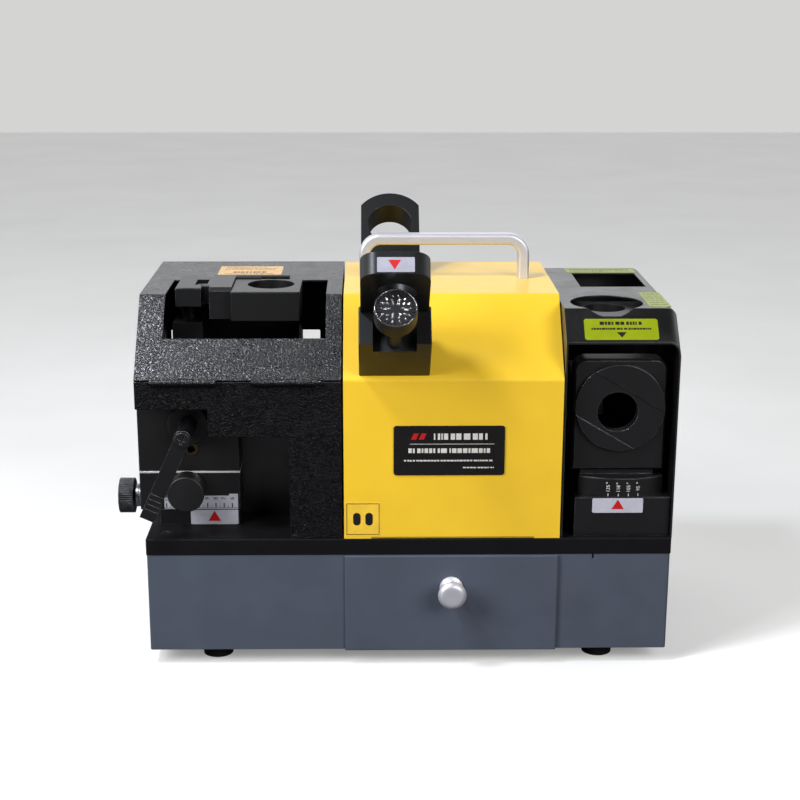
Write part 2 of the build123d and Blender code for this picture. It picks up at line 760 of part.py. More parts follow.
with BuildPart() as tap_cover:
    # front: apron with its cut-away for the hub, and the leg down to the deck
    with BuildSketch(Plane.XZ.offset(-cover_front)):
        with BuildLine():
            Polyline(
                (tap_left, apron_high),
                (tap_left, apron_left_low),
                (apron_step_x, apron_left_low),
                (apron_step_x, apron_low),
                (leg_x, apron_low),
                (leg_x, deck),
                (tap_right, deck),
                (tap_right, apron_high),
                close=True,
            )
        face = make_face()
        fillet(face.vertices().sort_by_distance((apron_step_x, cover_front, apron_left_low))[0], radius=14.0)
    extrude(amount=-sheet)
    # left wall: full height only behind the carriage
    with BuildSketch(Plane.YZ.offset(tap_left)):
        with BuildLine():
            Polyline(
                (cover_front, apron_high),
                (cover_front, apron_left_low),
                (side_opening_y, apron_left_low),
                (side_opening_y, deck),
                (cover_back, deck),
                (cover_back, lid_inner - 0.3),
                (slope_head + 1.5, lid_inner - 0.3),
                (cover_front + 1.2, apron_high),
                close=True,
            )
        make_face()
    extrude(amount=sheet)
    # right wall, with the shaft opening
    with BuildSketch(Plane.YZ.offset(tap_right - sheet)):
        with BuildLine():
            Polyline(
                (cover_front, deck),
                (cover_back, deck),
                (cover_back, lid_inner - 0.3),
                (slope_head + 1.5, lid_inner - 0.3),
                (cover_front + 1.2, apron_high),
                (cover_front, apron_high),
                close=True,
            )
        make_face()
        with Locations((motor_y, motor_z)):
            Circle(shaft_opening, mode=Mode.SUBTRACT)
    extrude(amount=sheet)
    # rear wall with its large opening
    with BuildSketch(Plane.XZ.offset(-cover_back)):
        with Locations((tap_left + tap_width / 2, (deck + lid_inner - 0.3) / 2)):
            Rectangle(tap_width, lid_inner - 0.3 - deck)
        with Locations((sum(rear_opening_x) / 2, sum(rear_opening_z) / 2)):
            RectangleRounded(
                rear_opening_x[1] - rear_opening_x[0],
                rear_opening_z[1] - rear_opening_z[0],
                1.0,
                mode=Mode.SUBTRACT,
            )
    extrude(amount=sheet)
    # return of the leg and the foot flanges
    with BuildSketch(Plane.XY.offset(deck)):
        with Locations((leg_x + sheet / 2, cover_front + 9)):
            Rectangle(sheet, 18.0)
    extrude(amount=apron_low - deck)
    with BuildSketch(Plane.XY.offset(deck)):
        with Locations(((leg_x + tap_right) / 2, cover_front + flange_depth / 2)):
            Rectangle(tap_right - leg_x, flange_depth)
        with Locations(((tap_left + tap_right) / 2, cover_back - flange_depth / 2)):
            Rectangle(tap_width, flange_depth)
    extrude(amount=3.0)
    with BuildSketch(Plane.XY.offset(deck)):
        with Locations(*cover_screw_points[4:7]):
            Circle(2.0)
    extrude(amount=3.0, mode=Mode.SUBTRACT)
    # fixed hinge knuckles at both ends of each hinge, on webs from the apron
    for centre in hinge_centres:
        for side in (-1, 1):
            with BuildSketch(Plane.YZ.offset(centre + side * hinge_length / 3 - hinge_length / 6)):
                with Locations((hinge_y, hinge_z)):
                    Circle(knuckle_radius)
                with Locations(((hinge_y + cover_front) / 2 + 0.6, hinge_z - 1.9)):
                    Rectangle(3.9, 1.2)
            extrude(amount=hinge_length / 3)
    with BuildSketch(Plane.YZ.offset(tap_left)):
        with Locations((hinge_y, hinge_z)):
            Circle(hinge_pin_radius)
    extrude(amount=tap_width, mode=Mode.SUBTRACT)
tap_cover.part.label = "tap_cover"
export_step(tap_cover.part, "parts/tap_cover.step")

slope_angle = atan2(cover_top - slope_foot, slope_head - cover_front)

with BuildPart() as tap_lid:
    with BuildSketch(Plane.YZ.offset(tap_left)):
        with BuildLine():
            Polyline(
                (cover_front, slope_foot),
                (slope_head, cover_top),
                (cover_back, cover_top),
                (cover_back, lid_inner),
                (slope_head + sheet * tan(slope_angle / 2), lid_inner),
                (cover_front + sheet * sin(slope_angle), slope_foot - sheet * cos(slope_angle)),
                close=True,
            )
        make_face()
    extrude(amount=tap_width)
    fillet(tap_lid.edges().filter_by(Axis.X).sort_by_distance((0, slope_head, cover_top))[0], radius=2.0)
    # window through the slope and the top
    with BuildSketch(Plane.XY.offset(cover_top + 1)):
        with BuildLine():
            Polyline(
                (window_x[0], cover_front + window_foot * cos(slope_angle)),
                (window_x[1], cover_front + window_foot * cos(slope_angle)),
                (window_x[1], window_back),
                (window_x[0], window_back),
                close=True,
            )
        make_face()
    extrude(amount=-40.0, mode=Mode.SUBTRACT)
    # middle knuckle of each hinge, on a web from the lid's lower edge
    for centre in hinge_centres:
        with BuildSketch(Plane.YZ.offset(centre - hinge_length / 6 + 0.3)):
            with Locations((hinge_y, hinge_z)):
                Circle(knuckle_radius)
            with BuildLine():
                Polyline(
                    (hinge_y, hinge_z + knuckle_radius),
                    (hinge_y + 1.6, hinge_z + 0.4),
                    (cover_front + 0.6, slope_foot - 0.6),
                    (cover_front + 0.9, slope_foot + 1.0),
                    close=True,
                )
            make_face()
        extrude(amount=hinge_length / 3 - 0.6)
    with BuildSketch(Plane.YZ.offset(tap_left)):
        with Locations((hinge_y, hinge_z)):
            Circle(hinge_pin_radius + run_clearance)
    extrude(amount=tap_width, mode=Mode.SUBTRACT)
tap_lid.part.label = "tap_lid"
export_step(tap_lid.part, "parts/tap_lid.step")

with BuildPart() as hinge_pins:
    for centre in hinge_centres:
        with BuildSketch(Plane.YZ.offset(centre - hinge_length / 2)):
            with Locations((hinge_y, hinge_z)):
                Circle(hinge_pin_radius)
        extrude(amount=hinge_length)
hinge_pins.part.label = "hinge_pins"
export_step(hinge_pins.part, "parts/hinge_pins.step")

guard_left = -141.0
guard_rear_left = -176.0
guard_right = -80.7
guard_front = -33.0 + run_clearance
guard_back = 53.5
guard_front_top = 205.0
guard_back_top = 235.0

with BuildPart() as wheel_guard:
    with BuildSketch(Plane.XY.offset(deck)):
        with BuildLine():
            Polyline(
                (guard_left, guard_front + sheet),
                (guard_left, guard_front),
                (guard_right, guard_front),
                (guard_right, guard_back),
                (guard_rear_left, guard_back),
                (guard_rear_left, guard_back - sheet),
                (guard_right - sheet, guard_back - sheet),
                (guard_right - sheet, guard_front + sheet),
                close=True,
            )
        make_face()
    extrude(amount=guard_back_top - deck)
    # the front is lower than the back, so the tap can reach the wheel
    with BuildSketch(Plane.YZ.offset(guard_left)):
        with BuildLine():
            Polyline(
                (guard_front, guard_front_top),
                (guard_front + 30, guard_front_top),
                (guard_back - 20, guard_back_top),
                (guard_front, guard_back_top),
                close=True,
            )
        make_face()
        with Locations((motor_y, motor_z)):
            Circle(shaft_opening)
    extrude(amount=guard_right - guard_left, mode=Mode.SUBTRACT)
wheel_guard.part.label = "wheel_guard"
export_step(wheel_guard.part, "parts/wheel_guard.step")


# ---------------------------------------------------------------- tap carriage
tongue_y = (-57.0, -52.0)
tongue_height = 5.0
nut_x = (-168.0, -158.0)
nut_y = (-49.0, -39.0)
nut_top = 124.0
slide_travel = (-2.0, 8.0)
slide_back = -33.0
pocket_gap = 0.5

with BuildPart() as tap_base:
    with BuildSketch(Plane.XY.offset(deck)):
        with BuildLine():
            Polyline(
                (tap_base_left, tap_face),
                (tap_slide_right - 1.0, tap_face),
                (tap_slide_right - 1.0, slide_back),
                (-150.0, slide_back),
                (-150.0, 8.0),
                (tap_base_left, 8.0),
                close=True,
            )
        make_face()
    extrude(amount=tap_base_top - deck)
    # guide tongue along the travel
    with BuildSketch(Plane.XY.offset(tap_base_top)):
        with Locations(((tap_base_left + tap_slide_right - 1) / 2, sum(tongue_y) / 2)):
            Rectangle(tap_slide_right - 1 - tap_base_left, tongue_y[1] - tongue_y[0])
    extrude(amount=tongue_height)
    # fixed nut of the feed screw
    with BuildSketch(Plane.XY.offset(tap_base_top)):
        with Locations((sum(nut_x) / 2, sum(nut_y) / 2)):
            Rectangle(nut_x[1] - nut_x[0], nut_y[1] - nut_y[0])
    extrude(amount=nut_top - tap_base_top)
    with BuildSketch(Plane.YZ.offset(nut_x[0] - 1)):
        with Locations((feed_y, feed_z)):
            Circle(feed_radius + run_clearance)
    extrude(amount=nut_x[1] - nut_x[0] + 2, mode=Mode.SUBTRACT)
tap_base.part.label = "tap_base"
export_step(tap_base.part, "parts/tap_base.step")

with BuildPart() as index_plate:
    with BuildSketch(Plane.XZ.offset(-tap_face)):
        with Locations((-142.9, deck + 5.7)):
            RectangleRounded(35.0, 11.0, 1.0)
    extrude(amount=1.0)
index_plate.part.label = "index_plate"
export_step(index_plate.part, "parts/index_plate.step")

with BuildPart() as tap_slide:
    with BuildSketch(Plane.XY.offset(tap_slide_low)):
        with Locations(((tap_slide_left + tap_slide_right) / 2, (tap_face + slide_back) / 2)):
            Rectangle(tap_slide_right - tap_slide_left, slide_back - tap_face)
    extrude(amount=tap_slide_top - tap_slide_low)
    chamfer(tap_slide.edges().filter_by(Axis.Z), length=0.6)
    # groove for the tongue, and the pocket that passes over the fixed nut
    with BuildSketch(Plane.XY.offset(tap_slide_low)):
        with Locations(((tap_slide_left + tap_slide_right) / 2, sum(tongue_y) / 2)):
            Rectangle(
                tap_slide_right - tap_slide_left + 2,
                tongue_y[1] - tongue_y[0] + 2 * run_clearance,
            )
    extrude(amount=tongue_height + 0.1, mode=Mode.SUBTRACT)
    pocket_left = nut_x[0] - slide_travel[1] - pocket_gap
    pocket_right = nut_x[1] - slide_travel[0] + pocket_gap
    with BuildSketch(Plane.XY.offset(tap_slide_low)):
        with Locations(((pocket_left + pocket_right) / 2, sum(nut_y) / 2)):
            Rectangle(pocket_right - pocket_left, nut_y[1] - nut_y[0] + 1.0)
    extrude(amount=nut_top - tap_slide_low + 0.5, mode=Mode.SUBTRACT)
    with BuildSketch(Plane.YZ.offset(tap_slide_left - 1)):
        with Locations((feed_y, feed_z)):
            Circle(feed_radius + run_clearance)
    extrude(amount=-147.4 - tap_slide_left + 1, mode=Mode.SUBTRACT)
    # hole for the lock knob's stud
    with BuildSketch(Plane.XZ.offset(-tap_face + 1)):
        with Locations((lock_x, lock_z)):
            Circle(3.0 + run_clearance)
    extrude(amount=-10.5, mode=Mode.SUBTRACT)
tap_slide.part.label = "tap_slide"
export_step(tap_slide.part, "parts/tap_slide.step")

with BuildPart() as scale_strip:
    with BuildSketch(Plane.XZ.offset(-tap_face)):
        with Locations((-152.45, 115.1)):
            Rectangle(54.1, 10.2)
        with Locations((-128.6, 120.8)):
            Rectangle(6.4, 1.6)
        with Locations((lock_x, lock_z)):
            Circle(4.2, mode=Mode.SUBTRACT)
    extrude(amount=0.8)
scale_strip.part.label = "scale_strip"
export_step(scale_strip.part, "parts/scale_strip.step")

with BuildPart() as ground_strip:
    with BuildSketch(Plane.XY.offset(tap_slide_top)):
        with Locations(((tap_slide_left + tap_slide_right) / 2, (tap_face + slide_back) / 2)):
            Rectangle(tap_slide_right - tap_slide_left, slide_back - tap_face)
    extrude(amount=strip_top - tap_slide_top)
ground_strip.part.label = "ground_strip"
export_step(ground_strip.part, "parts/ground_strip.step")

bush_z = 156.1
bush_x = -158.5
bush_bore = 2.8
column_guide_top = 244.5
arc_slot_radius = 17.4

with BuildPart() as tap_head:
    with BuildSketch(Plane.XY.offset(strip_top)):
        with Locations(((tap_slide_left + tap_slide_right) / 2, (tap_face + slide_back) / 2)):
            Rectangle(tap_slide_right - tap_slide_left, slide_back - tap_face)
    extrude(amount=tap_head_top - strip_top)
    chamfer(tap_head.edges().filter_by(Axis.Z), length=0.6)
    # guide tower of the column, behind the block
    with BuildSketch(Plane.XY.offset(strip_top)):
        with Locations((column_x, (slide_back + 3.0) / 2)):
            Rectangle(22.0, 3.0 - slide_back)
    extrude(amount=column_guide_top - strip_top)
    with BuildSketch(Plane.XY.offset(column_guide_top)):
        with Locations((column_x, column_y)):
            Circle(column_radius + run_clearance)
    extrude(amount=-(column_guide_top - 146.0), mode=Mode.SUBTRACT)
    # bore of the lever shaft, with room behind it for the crank pin
    with BuildSketch(Plane.XZ.offset(-tap_face + 1)):
        with Locations((hub_x, hub_z)):
            Circle(5.0 + run_clearance)
    extrude(amount=-(column_y - column_radius - tap_face + 1), mode=Mode.SUBTRACT)
    with BuildSketch(Plane.XZ.offset(22.5)):
        with Locations((hub_x, hub_z)):
            Circle(9.6)
    extrude(amount=-14.0, mode=Mode.SUBTRACT)
    # curved stop slot beside the hub
    with BuildSketch(Plane.XZ.offset(-tap_face)):
        with Locations((hub_x, hub_z)):
            SlotArc(arc=CenterArc((0, 0), arc_slot_radius, 165, 60), height=3.4)
    extrude(amount=-4.0, mode=Mode.SUBTRACT)
    with BuildSketch(Plane.XZ.offset(-tap_face)):
        with Locations((bush_x, bush_z)):
            Circle(3.5)
    extrude(amount=-8.0, mode=Mode.SUBTRACT)
tap_head.part.label = "tap_head"
export_step(tap_head.part, "parts/tap_head.step")

with BuildPart() as oil_bush:
    with BuildSketch(Plane.XZ.offset(-tap_face)):
        with Locations((bush_x, bush_z)):
            Circle(3.5)
            Circle(bush_bore, mode=Mode.SUBTRACT)
    extrude(amount=-8.0)
    with BuildSketch(Plane.XZ.offset(-tap_face)):
        with Locations((bush_x, bush_z)):
            Circle(4.8)
            Circle(bush_bore, mode=Mode.SUBTRACT)
    extrude(amount=1.0)
oil_bush.part.label = "oil_bush"
export_step(oil_bush.part, "parts/oil_bush.step")

thumb_radius = 13.0
thumb_left = -214.2
thumb_thickness = 10.8
collar_radius = 8.2

with BuildPart() as feed_screw:
    with BuildSketch(Plane.YZ.offset(thumb_left)):
        with Locations((feed_y, feed_z)):
            Circle(thumb_radius)
            with PolarLocations(thumb_radius + 0.15, 48):
                Rectangle(1.0, 0.8, rotation=45, mode=Mode.SUBTRACT)
    extrude(amount=thumb_thickness)
    with BuildSketch(Plane.XZ.offset(-feed_y)):
        with BuildLine():
            Polyline(
                (thumb_left + thumb_thickness - 0.1, feed_z),
                (thumb_left + thumb_thickness - 0.1, feed_z + 5.2),
                (thumb_left + thumb_thickness + 1.0, feed_z + 5.0),
                (thumb_left + thumb_thickness + 1.4, feed_z + collar_radius),
                (tap_slide_left - 0.1, feed_z + collar_radius),
                (tap_slide_left - 0.1, feed_z + feed_radius),
                (-149.0, feed_z + feed_radius),
                (-148.0, feed_z + feed_radius - 1.0),
                (-148.0, feed_z),
                close=True,
            )
        make_face()
    revolve(axis=Axis((0, feed_y, feed_z), (1, 0, 0)))
feed_screw.part.label = "feed_screw"
export_step(feed_screw.part, "parts/feed_screw.step")

lock_radius = 13.4
lock_thickness = 15.0

with BuildPart() as tap_lock_knob:
    with BuildSketch(Plane.XZ.offset(-tap_face + 0.9)):
        with Locations((lock_x, lock_z)):
            Circle(lock_radius)
    extrude(amount=lock_thickness)
    fillet(tap_lock_knob.edges().group_by(Axis.Y)[0], radius=1.0)
    with BuildSketch(Plane.XZ.offset(-tap_face + 0.9)):
        with Locations((lock_x, lock_z)):
            Circle(3.0)
    extrude(amount=-9.0)
tap_lock_knob.part.label = "tap_lock_knob"
export_step(tap_lock_knob.part, "parts/tap_lock_knob.step")

hub_disc_front = -66.0
hub_boss_front = -95.0
lever_thickness = 8.0
lever_length = 65.3
lever_angle = 24.6
lever_width = 11.0
lever_end = 6.4
pin_x = hub_x - crank_throw

with BuildPart() as lever_hub:
    with BuildSketch(Plane.XZ.offset(-tap_face + 1.3)):
        with Locations((hub_x, hub_z)):
            Circle(15.0)
    extrude(amount=tap_face - hub_disc_front - 1.3)
    fillet(lever_hub.edges().group_by(Axis.Y)[0], radius=1.0)
    with BuildSketch(Plane.XZ.offset(-tap_face + 0.1)):
        with Locations((hub_x, hub_z)):
            Circle(9.0)
    extrude(amount=1.2)
    with BuildSketch(Plane.XZ.offset(-hub_disc_front)):
        with Locations((hub_x, hub_z)):
            Circle(7.0)
    extrude(amount=hub_disc_front - hub_boss_front, taper=3)
    with BuildSketch(Plane.XZ.offset(-tap_face + 0.1)):
        with Locations((hub_x, hub_z)):
            Circle(5.0)
    extrude(amount=-(-22.0 - tap_face) - 0.1)
    # crank disc and pin that lift the column
    with BuildSketch(Plane.XZ.offset(22.0)):
        with Locations((hub_x, hub_z)):
            Circle(9.0)
    extrude(amount=-1.9)
    with BuildSketch(Plane.XZ.offset(20.1)):
        with Locations((pin_x, hub_z)):
            Circle(crank_pin_radius)
    extrude(amount=-8.0)
    with BuildSketch(Plane.XZ.offset(-hub_boss_front)):
        with Locations((hub_x, hub_z)):
            Circle(2.0)
    extrude(amount=-14.0, mode=Mode.SUBTRACT)
lever_hub.part.label = "lever_hub"
export_step(lever_hub.part, "parts/lever_hub.step")

lever_plane = Plane(
    origin=(hub_x, hub_boss_front, hub_z),
    x_dir=(-sin(radians(lever_angle)), 0, -cos(radians(lever_angle))),
    z_dir=(0, -1, 0),
)

with BuildPart() as swing_lever:
    with BuildSketch(lever_plane):
        with Locations((lever_length / 2, 0)):
            Rectangle(lever_length, lever_width)
        Circle(lever_end)
        Circle(2.05, mode=Mode.SUBTRACT)
    extrude(amount=lever_thickness)
    # finger ribs near the free end
    with BuildSketch(lever_plane.offset(lever_thickness)):
        with Locations((lever_length - 14, 0)):
            with GridLocations(4.0, 0, 4, 1):
                Rectangle(1.4, lever_width - 2)
    extrude(amount=-0.8, mode=Mode.SUBTRACT)
    chamfer(swing_lever.edges().filter_by(Axis.Y).group_by(Axis.Z)[0], length=1.0)
swing_lever.part.label = "swing_lever"
export_step(swing_lever.part, "parts/swing_lever.step")

with BuildPart() as lever_screw:
    with BuildSketch(lever_plane.offset(lever_thickness)):
        Circle(5.6)
    extrude(amount=1.8)
    fillet(lever_screw.edges().group_by(Axis.Y)[0], radius=0.8)
    with BuildSketch(lever_plane.offset(lever_thickness + 1.8)):
        Rectangle(6.4, 1.3)
        Rectangle(1.3, 6.4)
    extrude(amount=-1.2, mode=Mode.SUBTRACT)
    with BuildSketch(lever_plane.offset(lever_thickness)):
        Circle(2.0)
    extrude(amount=-lever_thickness - 13.0)
lever_screw.part.label = "lever_screw"
export_step(lever_screw.part, "parts/lever_screw.step")

column_head = ((-168.5, -150.0), (-42.0, 1.5), (258.5, holder_top))
column_head_wide = (-143.5, -33.0)
clamp_slot = (-151.0, -19.0)
crank_slot_gap = 0.15

with BuildPart() as tap_column:
    with BuildSketch(Plane((column_x, column_y, 152.0))):
        Circle(column_radius)
    extrude(amount=column_head[2][0] - 152.0)
    with BuildSketch(Plane.XY.offset(column_head[2][0])):
        with Locations((sum(column_head[0]) / 2, sum(column_head[1]) / 2)):
            Rectangle(
                column_head[0][1] - column_head[0][0],
                column_head[1][1] - column_head[1][0],
            )
        with Locations(
            (
                (column_head[0][1] + column_head_wide[0]) / 2,
                (column_head_wide[1] + column_head[1][1]) / 2,
            )
        ):
            Rectangle(
                column_head_wide[0] - column_head[0][1],
                column_head[1][1] - column_head_wide[1],
            )
    extrude(amount=column_head[2][1] - column_head[2][0])
    chamfer(tap_column.edges().group_by(Axis.Z)[-1], length=0.6)
    # clamp slot in the head, with the head of its screw
    with BuildSketch(Plane.XY.offset(holder_top)):
        with Locations(clamp_slot):
            Rectangle(9.0, 20.0)
    extrude(amount=-6.0, mode=Mode.SUBTRACT)
    with BuildSketch(Plane.XY.offset(holder_top - 6.0)):
        with Locations(clamp_slot):
            Circle(3.4)
            RegularPolygon(1.8, 6, mode=Mode.SUBTRACT)
    extrude(amount=4.2)
    # cross slot for the crank pin, and room for the crank disc in front of it
    with BuildSketch(Plane.XZ.offset(-column_y + column_radius)):
        with Locations((column_x, hub_z)):
            Rectangle(2 * column_radius, 2 * (crank_pin_radius + crank_slot_gap))
    extrude(amount=-9.0, mode=Mode.SUBTRACT)
tap_column.part.label = "tap_column"
export_step(tap_column.part, "parts/tap_column.step")

holder_x = (-127.5, -77.9)
holder_y = (-57.4, -7.8)
holder_low = 251.0
clip_x = (-143.3, -127.5)
clip_top = 273.6

with BuildPart() as tap_holder:
    with BuildSketch(Plane.XY.offset(holder_low)):
        with Locations((sum(holder_x) / 2, sum(holder_y) / 2)):
            Rectangle(holder_x[1] - holder_x[0], holder_y[1] - holder_y[0])
    extrude(amount=holder_top - holder_low)
    chamfer(tap_holder.edges().filter_by(Axis.Z), length=0.8)
    chamfer(tap_holder.edges().group_by(Axis.Z)[-1], length=0.6)
    # bridge to the column head
    with BuildSketch(Plane.XY.offset(column_head[2][0] + 1)):
        with Locations(((column_head_wide[0] + holder_x[0]) / 2, -20.0)):
            Rectangle(holder_x[0] - column_head_wide[0], 24.0)
    extrude(amount=8.0)
    with BuildSketch(Plane.XY.offset(holder_top)):
        with Locations((holder_bore_x, holder_bore_y)):
            Circle(holder_bore_radius)
    extrude(amount=-(holder_top - holder_low), mode=Mode.SUBTRACT)
tap_holder.part.label = "tap_holder"
export_step(tap_holder.part, "parts/tap_holder.step")

with BuildPart() as holder_clip:
    with BuildSketch(Plane.YZ.offset(clip_x[0])):
        with BuildLine():
            Polyline(
                (-49.8, holder_low),
                (-38.4, holder_low),
                (-38.4, column_head[2][0] + 9.0),
                (1.5, column_head[2][0] + 9.0),
                (1.5, clip_top),
                (-46.8, clip_top),
                (-49.8, clip_top - 2.4),
                close=True,
            )
        make_face()
    extrude(amount=clip_x[1] - clip_x[0])
holder_clip.part.label = "holder_clip"
export_step(holder_clip.part, "parts/holder_clip.step")

with BuildPart() as spring_fingers:
    with BuildSketch(Plane.YZ.offset(clip_x[1])):
        with Locations((-4.6, clip_top - 1.6)):
            Circle(1.4)
    extrude(amount=19.0)
    with BuildSketch(Plane.YZ.offset(clip_x[1])):
        with Locations((-0.4, clip_top - 1.6)):
            Circle(1.4)
    extrude(amount=40.0)
spring_fingers.part.label = "spring_fingers"
export_step(spring_fingers.part, "parts/spring_fingers.step")


# ---------------------------------------------------------------- drill side cover
with BuildPart() as drill_cover:
    with BuildSketch(Plane.YZ.offset(drill_left)):
        with BuildLine():
            Polyline(
                (cover_front, deck),
                (cover_front, drill_top - drill_bevel),
                (cover_front + drill_bevel, drill_top),
                (drill_back, drill_top),
                (drill_back, deck),
                close=True,
            )
        make_face()
    extrude(amount=drill_right - drill_left)
    right_edges = drill_cover.edges().filter_by(lambda e: e.center().X > drill_right - 0.1)
    fillet(right_edges.filter_by(lambda e: e.center().Z > drill_top - drill_bevel), radius=8.0)
    front_face = drill_cover.faces().sort_by(Axis.Y)[0]
    bottom_face = drill_cover.faces().sort_by(Axis.Z)[0]
    offset(amount=-thin_sheet, openings=[front_face, bottom_face])
    # round opening over the top seat, and the rectangular one over the wheel
    with BuildSketch(Plane.XY.offset(drill_top + 1)):
        with Locations((142.4, -52.0)):
            Circle(26.0)
        with Locations((156.25, 35.0)):
            Rectangle(49.5, 56.0)
    extrude(amount=-20.0, mode=Mode.SUBTRACT)
    with BuildSketch(Plane.YZ.offset(drill_left - 1)):
        with Locations((motor_y, motor_z)):
            Circle(shaft_opening)
    extrude(amount=6.0, mode=Mode.SUBTRACT)
    with BuildSketch(Plane.XY.offset(deck)):
        with Locations(((drill_left + drill_right) / 2, drill_back - flange_depth / 2)):
            Rectangle(drill_right - drill_left, flange_depth)
    extrude(amount=3.0)
    with BuildSketch(Plane.XY.offset(deck)):
        with Locations(*cover_screw_points[7:9]):
            Circle(2.0)
    extrude(amount=3.0, mode=Mode.SUBTRACT)
drill_cover.part.label = "drill_cover"
export_step(drill_cover.part, "parts/drill_cover.step")

top_seat_x = (drill_left + thin_sheet, 185.0)
top_seat_y = (-74.0, -22.0)
top_seat_z = (247.0, 257.5)
top_seat_hole = (142.4, -44.0)
top_seat_radius = 15.0

with BuildPart() as top_seat:
    with BuildSketch(Plane.XY.offset(top_seat_z[0])):
        with Locations((sum(top_seat_x) / 2, sum(top_seat_y) / 2)):
            Rectangle(top_seat_x[1] - top_seat_x[0], top_seat_y[1] - top_seat_y[0])
        with Locations(top_seat_hole):
            Circle(top_seat_radius, mode=Mode.SUBTRACT)
    extrude(amount=top_seat_z[1] - top_seat_z[0])
    chamfer(top_seat.edges().filter_by(Axis.Z), length=3.0)
top_seat.part.label = "top_seat"
export_step(top_seat.part, "parts/top_seat.step")


# ---------------------------------------------------------------- drill seat
seat_base_x = (119.5, 188.2)
seat_base_front = -88.0
seat_base_top = 127.5
sector_half = 30.5
sector_top = 141.5
neck_half = 26.5
plate_half = 33.25
plate_front = -80.0
plate_rear = -64.0
plate_low = 145.6
plate_high = 228.0
plate_corner = 9.0
disc_front = -84.0
disc_recess = -74.0
pivot_radius = 8.0
pivot_top = 140.0

with BuildPart() as seat_base:
    with BuildSketch(Plane.XY.offset(deck)):
        with Locations((sum(seat_base_x) / 2, (seat_base_front - 20.0) / 2)):
            Rectangle(seat_base_x[1] - seat_base_x[0], -20.0 - seat_base_front)
    extrude(amount=seat_base_top - deck)
    chamfer(seat_base.edges().group_by(Axis.Z)[-1], length=0.6)
    with BuildSketch(Plane((swivel_x, swivel_y, seat_base_top))):
        Circle(pivot_radius)
    extrude(amount=pivot_top - seat_base_top)
seat_base.part.label = "seat_base"
export_step(seat_base.part, "parts/seat_base.step")

with BuildPart() as pointer_plate:
    with BuildSketch(Plane.XZ.offset(-seat_base_front)):
        with Locations((swivel_x, 121.2)):
            RectangleRounded(36.6, 10.8, 1.0)
    extrude(amount=0.8)
pointer_plate.part.label = "pointer_plate"
export_step(pointer_plate.part, "parts/pointer_plate.step")

with BuildPart() as seat_swivel:
    # sector: its round front carries the point-angle marks
    with BuildSketch(Plane((swivel_x, swivel_y, seat_base_top + run_clearance))):
        with Locations((sector_shift, sector_radius - sector_reach)):
            Circle(sector_radius)
        with Locations((sector_shift, -sector_reach / 2)):
            Rectangle(2 * sector_half, sector_reach + 12, mode=Mode.INTERSECT)
    extrude(amount=sector_top - seat_base_top - run_clearance)
    chamfer(seat_swivel.edges().group_by(Axis.Z)[-1], length=0.6)
    with BuildSketch(Plane((swivel_x, swivel_y, seat_base_top))):
        Circle(pivot_radius + run_clearance)
    extrude(amount=pivot_top - seat_base_top + 0.3, mode=Mode.SUBTRACT)
    # upright plate on a narrower neck
    with BuildSketch(Plane.XY.offset(sector_top)):
        with Locations((swivel_x, (plate_front + plate_rear) / 2 + 2)):
            Rectangle(2 * neck_half, plate_rear - plate_front - 4)
    extrude(amount=plate_low - sector_top + 4)
    with BuildSketch(Plane.XZ.offset(-plate_rear)):
        with Locations((swivel_x, (plate_low + plate_high) / 2)):
            RectangleRounded(2 * plate_half, plate_high - plate_low, plate_corner)
        with Locations((swivel_x, plate_low + plate_corner / 2)):
            Rectangle(2 * plate_half, plate_corner)
    extrude(amount=plate_rear - plate_front)
    front_rim = seat_swivel.faces().sort_by(Axis.Y).filter_by(Plane.XZ)[0].outer_wire().edges()
    chamfer(front_rim, length=1.6)
    # recess for the seat disc and the opening behind it
    with BuildSketch(Plane.XZ.offset(-plate_front)):
        with Locations((swivel_x, seat_z)):
            Circle(seat_disc_radius + run_clearance)
    extrude(amount=plate_front - disc_recess, mode=Mode.SUBTRACT)
    with BuildSketch(Plane.XZ.offset(-plate_front)):
        with Locations((swivel_x, seat_z)):
            Circle(chuck_radius + 6)
    extrude(amount=plate_front - plate_rear, mode=Mode.SUBTRACT)
seat_swivel.part.label = "seat_swivel"
export_step(seat_swivel.part, "parts/seat_swivel.step")

# The disc's face has a shallow channel, off centre and inclined, that locates the chuck.
channel_angle = -30.7
channel_depth = 1.2
channel_sides = (-20.7, 13.6)
chuck_offset = (-1.81, -3.05)

with BuildPart() as seat_disc:
    with BuildSketch(Plane.XZ.offset(-disc_recess + 0.05)):
        with Locations((swivel_x, seat_z)):
            Circle(seat_disc_radius)
    extrude(amount=disc_recess - 0.05 - disc_front)
    chamfer(seat_disc.edges().group_by(Axis.Y)[0], length=0.7)
    with BuildSketch(Plane.XZ.offset(-disc_front)):
        with Locations(Location((swivel_x, seat_z, 0), (0, 0, channel_angle))):
            with Locations((0, sum(channel_sides) / 2)):
                Rectangle(2 * seat_disc_radius + 4, channel_sides[1] - channel_sides[0])
    extrude(amount=-channel_depth, mode=Mode.SUBTRACT)
    with BuildSketch(Plane.XZ.offset(-disc_front)):
        with Locations((swivel_x + chuck_offset[0], seat_z + chuck_offset[1])):
            Circle(chuck_radius)
    extrude(amount=disc_front - disc_recess, mode=Mode.SUBTRACT)
seat_disc.part.label = "seat_disc"
export_step(seat_disc.part, "parts/seat_disc.step")


# ---------------------------------------------------------------- setting gauge
gauge_half = 24.9
gauge_run = (3.5, 33.0)
gauge_rise = 46.0
channel_x = (-25.9, 3.9)
channel_floor = 26.0
slider_top = 35.5
head_x = (-34.4, 12.4)
head_run = (28.3, 45.1)
head_rise = 97.0
gauge_knob_radius = 14.6
gauge_knob_rise = (66.0, 80.0)

